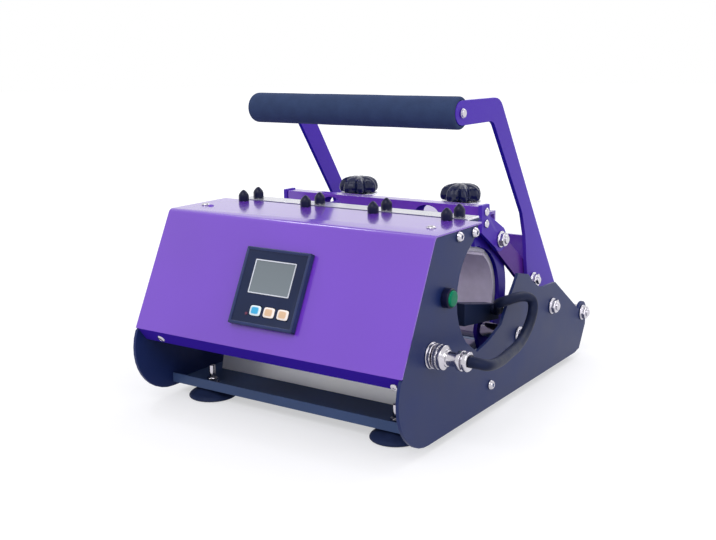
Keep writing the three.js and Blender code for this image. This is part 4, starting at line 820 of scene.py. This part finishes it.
class PRESS_OT_controller(PressOperator):
    """Makes the controller's bezel with its raised rim, its display, its status lamp and its three keys."""

    bl_idname = "press.controller"
    bl_label = "Controller"

    def execute(self, context):
        dress("moulded_abs_black", "black_plastic", "frame", "controller_bezel", "controller_case",
              edge=0.4 * MM)
        dress("liquid_crystal_display", "screen", "frame", "controller_screen", edge=0.15 * MM)
        rim = self.framed("controller_rim", "controller_bezel", 0.1, 1.6, [
            (0, -5.2), (0, -0.5), (0.4, 0.3), (1.0, 0.6), (2.2, 0.35), (2.9, -0.3), (2.9, -1.2), (0.4, -5.2),
            (0, -5.2)])
        keep(rim, "frame", "black_plastic", "moulded_abs_slate")
        pale = self.framed("display_frame", "controller_screen", 0.5, 0.8, [
            (0, -0.4), (0, 0.45), (0.2, 0.6), (0.8, 0.6), (1.0, 0.45), (1.0, -0.4), (0, -0.4)])
        keep(pale, "frame", "screen", "white_moulded_rim")
        self.status_lamp()
        self.keys()
        return {"FINISHED"}

    @staticmethod
    def slope():
        """The slope's own axes, across, up and out, from the direction in which the keys are pressed."""
        press = next(joint for joint in frame["joints"] if joint["name"] == "key_middle_press")
        out = -np.array(press["axis"], float)
        out /= np.linalg.norm(out)
        across = np.array([1.0, 0, 0])
        return np.array([across, np.cross(out, across), out])

    def face(self, node):
        """The middle of a node's outer face, and the node's size along the slope's axes."""
        axes = self.slope()
        along = points_of(NODES[node].data) @ axes.T
        lowest, highest = along.min(axis=0), along.max(axis=0)
        return (lowest + (highest - lowest) * (0.5, 0.5, 1)) @ axes, highest - lowest

    def framed(self, name, node, margin, corner, profile):
        """A closed frame round a node's outer face, in millimetres. Its path is the face's outline, wider
        by margin and with quarter circles for corners, and a closed profile of inset and height is
        carried round it."""
        across, up, out = self.slope()
        centre, size = self.face(node)
        steps = 8
        angle = (np.arange(4)[:, None] * np.pi / 2 + np.linspace(0, np.pi / 2, steps)).ravel()
        normals = np.stack([np.cos(angle), np.sin(angle)], axis=-1)
        signs = np.repeat([[1, 1], [-1, 1], [-1, -1], [1, -1]], steps, axis=0)
        path = signs * ((size[:2] + margin * MM) / 2 - corner * MM) + normals * corner * MM
        profile = np.array(profile) * MM
        flat = path[None] - normals[None] * profile[:, :1, None]
        grid = centre + flat[..., :1] * across + flat[..., 1:2] * up + profile[:, 1][:, None, None] * out
        return closed_surface(name, grid)

    def status_lamp(self):
        """The small lamp beside the left key."""
        across, up, out = self.slope()
        place = self.face("key_left")[0] - (across * 9.2 + up * 3.7 + out * 1.1) * MM
        rows = in_mm([(0, -0.6), (1.5, -0.6), (1.5, 0.2), (1.2, 0.7), (0, 0.9)])
        keep(closed_surface("status_lamp", turned(rows, place, out, 24)), "frame", "black_plastic",
             "indicator_lens_red")

    def keys(self):
        """Pillow keys. A point at angle a and share s of the way out lies on the superellipse
        |x/w|^5 + |y/h|^5 = s^5, and its height falls as 1 - s^4."""
        across, up, out = self.slope()
        sides, rings = 64, 14
        angle = np.arange(sides) * 2 * np.pi / sides
        share = np.sin(np.linspace(0, 1, rings) * np.pi / 2)[:, None]
        reach = (np.abs(np.cos(angle)) ** 5 + np.abs(np.sin(angle)) ** 5) ** -0.2
        for node, colour in (("key_left", "blue"), ("key_middle", "orange"), ("key_right", "orange")):
            centre, size = self.face(node)
            flat = share * reach * np.cos(angle) * size[0] / 2
            tall = share * reach * np.sin(angle) * size[1] / 2
            height = np.repeat(share ** 4 * -0.8 * MM, sides, axis=1)
            top = centre + flat[..., None] * across + tall[..., None] * up + height[..., None] * out
            wall = top[-1:] - out * (size[2] - 1.0 * MM)
            base = np.repeat(wall.mean(axis=1, keepdims=True), sides, axis=1)
            key = closed_surface(f"{node}_cap", np.concatenate([top, wall, base]))
            self.map_shares(key.data, centre, across, up, size)
            keep(key, node, f"{colour}_plastic", f"silicone_key_{colour}", node)

    @staticmethod
    def map_shares(mesh, centre, across, up, size):
        """A UV map whose second value is 1 at the key's middle and falls to 0 at its rim."""
        corners = np.empty(len(mesh.loops), np.int32)
        mesh.loops.foreach_get("vertex_index", corners)
        points = points_of(mesh)[corners] - centre
        x, y = np.abs(points @ across) / (size[0] / 2), np.abs(points @ up) / (size[1] / 2)
        share = 1 - np.clip((x ** 5 + y ** 5) ** 0.2, 0, 1)
        values = np.stack([np.zeros(len(share)), np.clip(share * 1.9, 0, 1)], axis=-1)
        mesh.uv_layers.new(name="UVMap").data.foreach_set("uv", values.ravel())


class PRESS_OT_button(PressOperator):
    """Makes the green push button in its black collar."""

    bl_idname = "press.button"
    bl_label = "Button"

    def execute(self, context):
        start, end = reach_x("button_bezel")
        rows = in_mm([
            (0, start), (6.5, start), (6.5, end - 6.8), (8.7, end - 6.8), (8.7, end - 1), (8.1, end),
            (7.5, end), (7.4, end - 4.3), (0, end - 4.3)])
        ring = closed_surface("button_ring", crosswise("button_bezel", rows, 0.3 * MM, 64))
        keep(ring, "frame", "black_plastic", "moulded_nylon_black", "button_bezel")
        start, end = reach_x("button_cap")
        rows = in_mm([
            (0, start), (7.1, start), (7.1, end - 1.4), (6.5, end - 0.3), (4.3, end - 0.05), (0, end)])
        lens = closed_surface("button_lens", crosswise("button_cap", rows, 0.5 * MM, 64))
        keep(lens, "button_cap", "green_plastic", "acrylic_lens_green", "button_cap")
        return {"FINISHED"}


class PRESS_OT_seat(PressOperator):
    """Dresses the seat's shells, felt pads and heating mats, and the mat's terminal block."""

    bl_idname = "press.seat"
    bl_label = "Seat"

    def execute(self, context):
        fine = {"edge": 0.25 * MM, "sharp": 25}
        for body, shell, half in (("frame", "seat_shell_front", "front"), ("clamp", "clamp_shell", "rear")):
            dress("rolled_stainless_sheet", "bare_steel", body, shell, **fine)
            dress("needled_felt", "felt", body, f"insulation_{half}", **fine)
            dress("silicone_heating_mat", "silicone_mat", body, f"heating_mat_{half}", **fine)
        dress("moulded_abs_black", "black_plastic", "frame", "terminal_block", edge=1.0 * MM)
        return {"FINISHED"}


class PRESS_OT_mains_side(PressOperator):
    """Dresses the mains inlet and the rocker switch on the left side plate."""

    bl_idname = "press.mains_side"
    bl_label = "Mains side"

    def execute(self, context):
        dress("moulded_nylon_black", "black_plastic", "frame", "mains_inlet", "rocker_frame", edge=0.4 * MM)
        dress("moulded_abs_black", "black_plastic", "rocker_key", "rocker_key", edge=0.4 * MM)
        return {"FINISHED"}


class PRESS_OT_clamp(PressOperator):
    """Dresses the clamp's end plates, bar, ears and adjuster bracket, with its rivets and cup washers."""

    bl_idname = "press.clamp"
    bl_label = "Clamp"

    def execute(self, context):
        # The end plates' darker paint is painted shade.
        dress("gloss_powder_coat_indigo", "violet_paint", "clamp", "clamp_end_left", "clamp_end_right")
        dress("gloss_powder_coat_purple", "violet_paint", "clamp", "clamp_bar", "adjuster_bracket")
        dress("gloss_powder_coat_violet", "violet_paint", "clamp", "clamp_ear_left", "clamp_ear_right")
        rivet = in_mm([(0, 0.1), (4, 0.1), (4, 1.2), (3.3, 2.0), (2, 2.4), (0, 2.5)])
        ear_face, rivet_pitch = high("handle_arm_right")[0], 11.6 * MM
        _, bar_y, bar_z = middle("clamp_bar")
        plated("ear_rivets", [turned(rivet, (side * ear_face, bar_y, bar_z - drop), (side, 0, 0), 28)
                              for side in SIDES.values() for drop in (0, rivet_pitch)], "clamp")
        cup = filleted(in_mm([
            (4.4, 0.05), (14.2, 0.05), (14.2, 2.5), (12.8, 5.9), (12.4, 8.6), (20.6, 9.4), (20.6, 10.9),
            (9.5, 10.9), (9.5, 7.2), (4.4, 7.2), (4.4, 0.05)]), 0.5 * MM)
        bracket_top = high("clamp_bar")[2] - 16.6 * MM
        for hand in SIDES:
            x, y, _ = knob_place(hand)
            grid = turned(cup, (x, y, bracket_top), (0, 0, 1), 48)
            keep(closed_surface(f"knob_cup_washer_{hand}", grid), "clamp", "chrome", "bright_aluminium_strip")
        return {"FINISHED"}


class PRESS_OT_knobs(PressOperator):
    """Makes the two star knobs."""

    bl_idname = "press.knobs"
    bl_label = "Star knobs"

    def execute(self, context):
        for hand in SIDES:
            node = f"star_knob_{hand}"
            x, y, _ = knob_place(hand)
            bottom, top = low(node)[2] / MM, high(node)[2] / MM
            stud = in_mm([
                (0, bottom), (4, bottom), (4, top - 20), (8.4, top - 20), (9, top - 19.4), (9, top - 13),
                (0, top - 13)])
            star = self.star(context.scene.press_sizes.knob_lobes) + (x, y, top * MM)
            knob = closed_surface(f"{node}_head", star, turned(stud, (x, y, 0), (0, 0, 1), 36))
            keep(knob, node, "gloss_black_plastic", "phenolic_black", node)
        return {"FINISHED"}

    @staticmethod
    def star(lobes):
        """A star head. Each row of the profile gives its share of a cosine wave of the lobes, its radius
        as a share of the mean and its height, so that the rim is full and the middle is plain. The
        radius is the mean plus the wave, and the same wave lifts the tops of the lobes."""
        mean, depth, rise, rows_down, sides = 18.2, 3.5, 0.9, 53, 168
        rows = np.array([
            (0, 0.0, -15.4), (0, 0.30, -15.4), (0.3, 0.5, -15.5), (1, 0.8, -15.7), (1, 0.93, -15.0),
            (1, 0.99, -13.0), (1, 1.0, -10.4), (1, 0.975, -7.8), (1, 0.92, -5.0), (0.95, 0.82, -2.6),
            (0.8, 0.68, -0.8), (0.5, 0.5, 0.5), (0.1, 0.3, 1.3), (0, 0.0, 1.6)])
        finer = np.linspace(0, len(rows) - 1, rows_down)
        share, radius, height = (np.interp(finer, np.arange(len(rows)), column)[:, None] for column in rows.T)
        angle = np.arange(sides) * 2 * np.pi / sides
        wave = np.cos(lobes * angle)
        reach = radius * (mean + share * depth * np.sign(wave) * np.abs(wave) ** 0.9)
        lift = rise * np.clip(share * (height + 11) / 11, 0, 1) * wave
        return np.stack([reach * np.cos(angle), reach * np.sin(angle), height + lift], axis=-1) * MM


class PRESS_OT_handle(PressOperator):
    """Dresses the handle's arms, its cross bar and the tube inside its grip."""

    bl_idname = "press.handle"
    bl_label = "Handle"

    def execute(self, context):
        dress("gloss_powder_coat_violet", "violet_paint", "handle", "handle_arm_left", "handle_arm_right")
        dress("gloss_powder_coat_purple", "violet_paint", "handle", "handle_cross_bar")
        dress("chrome_plated_steel", "bare_steel", "handle", "grip_tube", edge=0.3 * MM)
        return {"FINISHED"}


class PRESS_OT_foam_grip(PressOperator):
    """Makes the foam sleeve of the grip. Its profile is turned about the grip's axis: quarter circles at
    the ends, a body that swells by a product of two sine waves, and a bore that opens out at the arms."""

    bl_idname = "press.foam_grip"
    bl_label = "Foam grip"

    def execute(self, context):
        place = middle("foam_grip")
        tube_end = high("foam_grip")[0]
        radius = (high("foam_grip")[2] - low("foam_grip")[2]) / 2 + 0.6 * MM
        arm_outer = low("handle_arm_left")[0]
        first, last = arm_outer - 1.4 * MM, high("handle_arm_right")[0] - 0.6 * MM
        tube, screw_hole = 9.6 * MM, 5.1 * MM
        arm_bore = place[1] - low("handle_arm_right")[1] + 0.3 * MM
        round_edge, lip, swell, most_swell = 7.0 * MM, 2.4 * MM, 0.12 * MM, 0.1 * MM
        quick_wave, slow_wave = 90, 37
        end = np.linspace(0, np.pi / 2, 9)
        left, right = (
            np.stack([radius - size * (1 - np.sin(end)), start + way * size * (1 - np.cos(end))], axis=-1)
            for start, size, way in ((first, round_edge, 1), (last, lip, -1)))
        along = np.linspace(first + round_edge, last - lip, 60)[1:-1]
        waves = radius + swell * np.sin(along * quick_wave) * np.sin(along * slow_wave)
        body = np.stack([np.minimum(waves, radius + most_swell), along], axis=-1)
        loop = np.vstack([
            [(screw_hole, first)], left, body, right[::-1], [(arm_bore, last)], [(arm_bore, tube_end)],
            [(tube, tube_end)], [(tube, arm_outer)], [(screw_hole, arm_outer)], [(screw_hole, first)]])
        sleeve = closed_surface("foam_sleeve", turned(loop, (0, place[1], place[2]), (1, 0, 0), 72))
        keep(sleeve, "handle", "foam", "nitrile_foam", "foam_grip")
        return {"FINISHED"}


class PRESS_OT_links(PressOperator):
    """Dresses the two toggle links."""

    bl_idname = "press.links"
    bl_label = "Toggle links"

    def execute(self, context):
        for link in ("toggle_link_left", "toggle_link_right"):
            dress("gloss_powder_coat_plum", "violet_paint", link, link)
        return {"FINISHED"}


class PRESS_OT_studio(PressOperator):
    """Makes the pale floor, the soft lamps and the white surroundings."""

    bl_idname = "press.studio"
    bl_label = "Studio"

    def execute(self, context):
        self.floor()
        self.world(context)
        for name, place, size, power in (
                ("key_light", (0.2, -2.0, 2.4), 1.5, 32), ("fill_light", (2.2, -0.8, 1.3), 1.6, 12),
                ("glint_light", (-1.4, 0.25, 2.15), 0.3, 4), ("rim_light", (0.4, 1.8, 1.8), 1.6, 16)):
            self.lamp(context, name, place, size, power)
        context.scene.view_settings.view_transform = "Standard"
        return {"FINISHED"}

    @staticmethod
    def seen(tree, *rays):
        """1 for the kinds of ray named, which see the surroundings as a background, and 0 for light."""
        kinds = add_node(tree, "ShaderNodeLightPath").outputs
        value = kinds[rays[0]]
        for ray in rays[1:]:
            value = add_node(
                tree, "ShaderNodeMath", {0: value, 1: kinds[ray]}, operation="MAXIMUM").outputs[0]
        return value

    def floor(self):
        """A round pale floor that keeps the shadow and glows to white away from the press where it is
        seen. Its rings are turned about the upright axis."""
        rows = [(0.0, 0.0), (1.0, 0.0), (3.0, 0.0), (8.0, 0.0)]
        floor = closed_surface("floor", turned(rows, (0, 0, -0.0005), (0, 0, 1), 64))
        material, tree, shader, place = start_material("white_paper")
        seen = self.seen(tree, "Is Camera Ray", "Is Glossy Ray")
        away = add_node(tree, "ShaderNodeVectorMath", {0: place}, operation="LENGTH").outputs["Value"]
        glow = add_node(tree, "ShaderNodeMath", {0: seen, 1: spread(tree, away, 0.52, 0.8, 0.4, 2.4)},
                        operation="MULTIPLY").outputs[0]
        connect(tree, shader, Base_Color=rgba(linear("#BEBEC2")), Roughness=1.0, Specular_IOR_Level=0.0,
                Emission_Color=(1, 1, 1, 1), Emission_Strength=glow)
        floor.data.materials.append(material)

    def world(self, context):
        """White surroundings: dimmer as light than as the background that camera, gloss and glass see."""
        world = bpy.data.worlds.new("studio")
        world.use_nodes = True
        context.scene.world = world
        tree = world.node_tree
        seen = self.seen(tree, "Is Camera Ray", "Is Glossy Ray", "Is Transmission Ray")
        back = tree.nodes["Background"]
        back.inputs["Color"].default_value = (1, 1, 1, 1)
        tree.links.new(spread(tree, seen, 0.62, 1.0, 0.0, 1.0), back.inputs["Strength"])

    @staticmethod
    def lamp(context, name, place, size, power):
        """A square soft lamp that faces the middle of the press."""
        data = bpy.data.lights.new(name, "AREA")
        data.size = size
        data.energy = power
        lamp = bpy.data.objects.new(name, data)
        lamp.location = place
        lamp.rotation_euler = (Vector((0, 0, 0.12)) - Vector(place)).to_track_quat("-Z", "Y").to_euler()
        context.scene.collection.objects.link(lamp)


OPERATORS = (
    PRESS_OT_camera, PRESS_OT_heater_lead, PRESS_OT_heater_socket, PRESS_OT_body, PRESS_OT_feet,
    PRESS_OT_cover, PRESS_OT_cap_nuts, PRESS_OT_screws, PRESS_OT_pivots, PRESS_OT_controller,
    PRESS_OT_button, PRESS_OT_seat, PRESS_OT_mains_side, PRESS_OT_clamp, PRESS_OT_knobs, PRESS_OT_handle,
    PRESS_OT_foam_grip, PRESS_OT_links, PRESS_OT_studio,
)


class PRESS_PT_panel(bpy.types.Panel):
    """Lists the press's sizes, colours and pieces."""

    bl_idname = "PRESS_PT_panel"
    bl_label = "Mug heat press"
    bl_space_type = "VIEW_3D"
    bl_region_type = "UI"
    bl_category = "Heat press"

    def draw(self, context):
        column = self.layout.column(align=True)
        for group in (context.scene.press_sizes, context.scene.press_colours):
            for name in group.__annotations__:
                column.prop(group, name)
        for operator in OPERATORS:
            column.operator(operator.bl_idname)


CLASSES = (PressSizes, PressColours, *OPERATORS, PRESS_PT_panel)


def register():
    """Registers the classes, and hangs the sizes and colours on the scene."""
    for cls in CLASSES:
        bpy.utils.register_class(cls)
    bpy.types.Scene.press_sizes = PointerProperty(type=PressSizes)
    bpy.types.Scene.press_colours = PointerProperty(type=PressColours)


def unregister():
    """Takes back what register did."""
    del bpy.types.Scene.press_colours
    del bpy.types.Scene.press_sizes
    for cls in reversed(CLASSES):
        bpy.utils.unregister_class(cls)


def main():
    """Makes every piece in order."""
    register()
    for operator in OPERATORS:
        getattr(bpy.ops.press, operator.bl_idname.split(".")[1])()


if __name__ == "__main__":
    main()
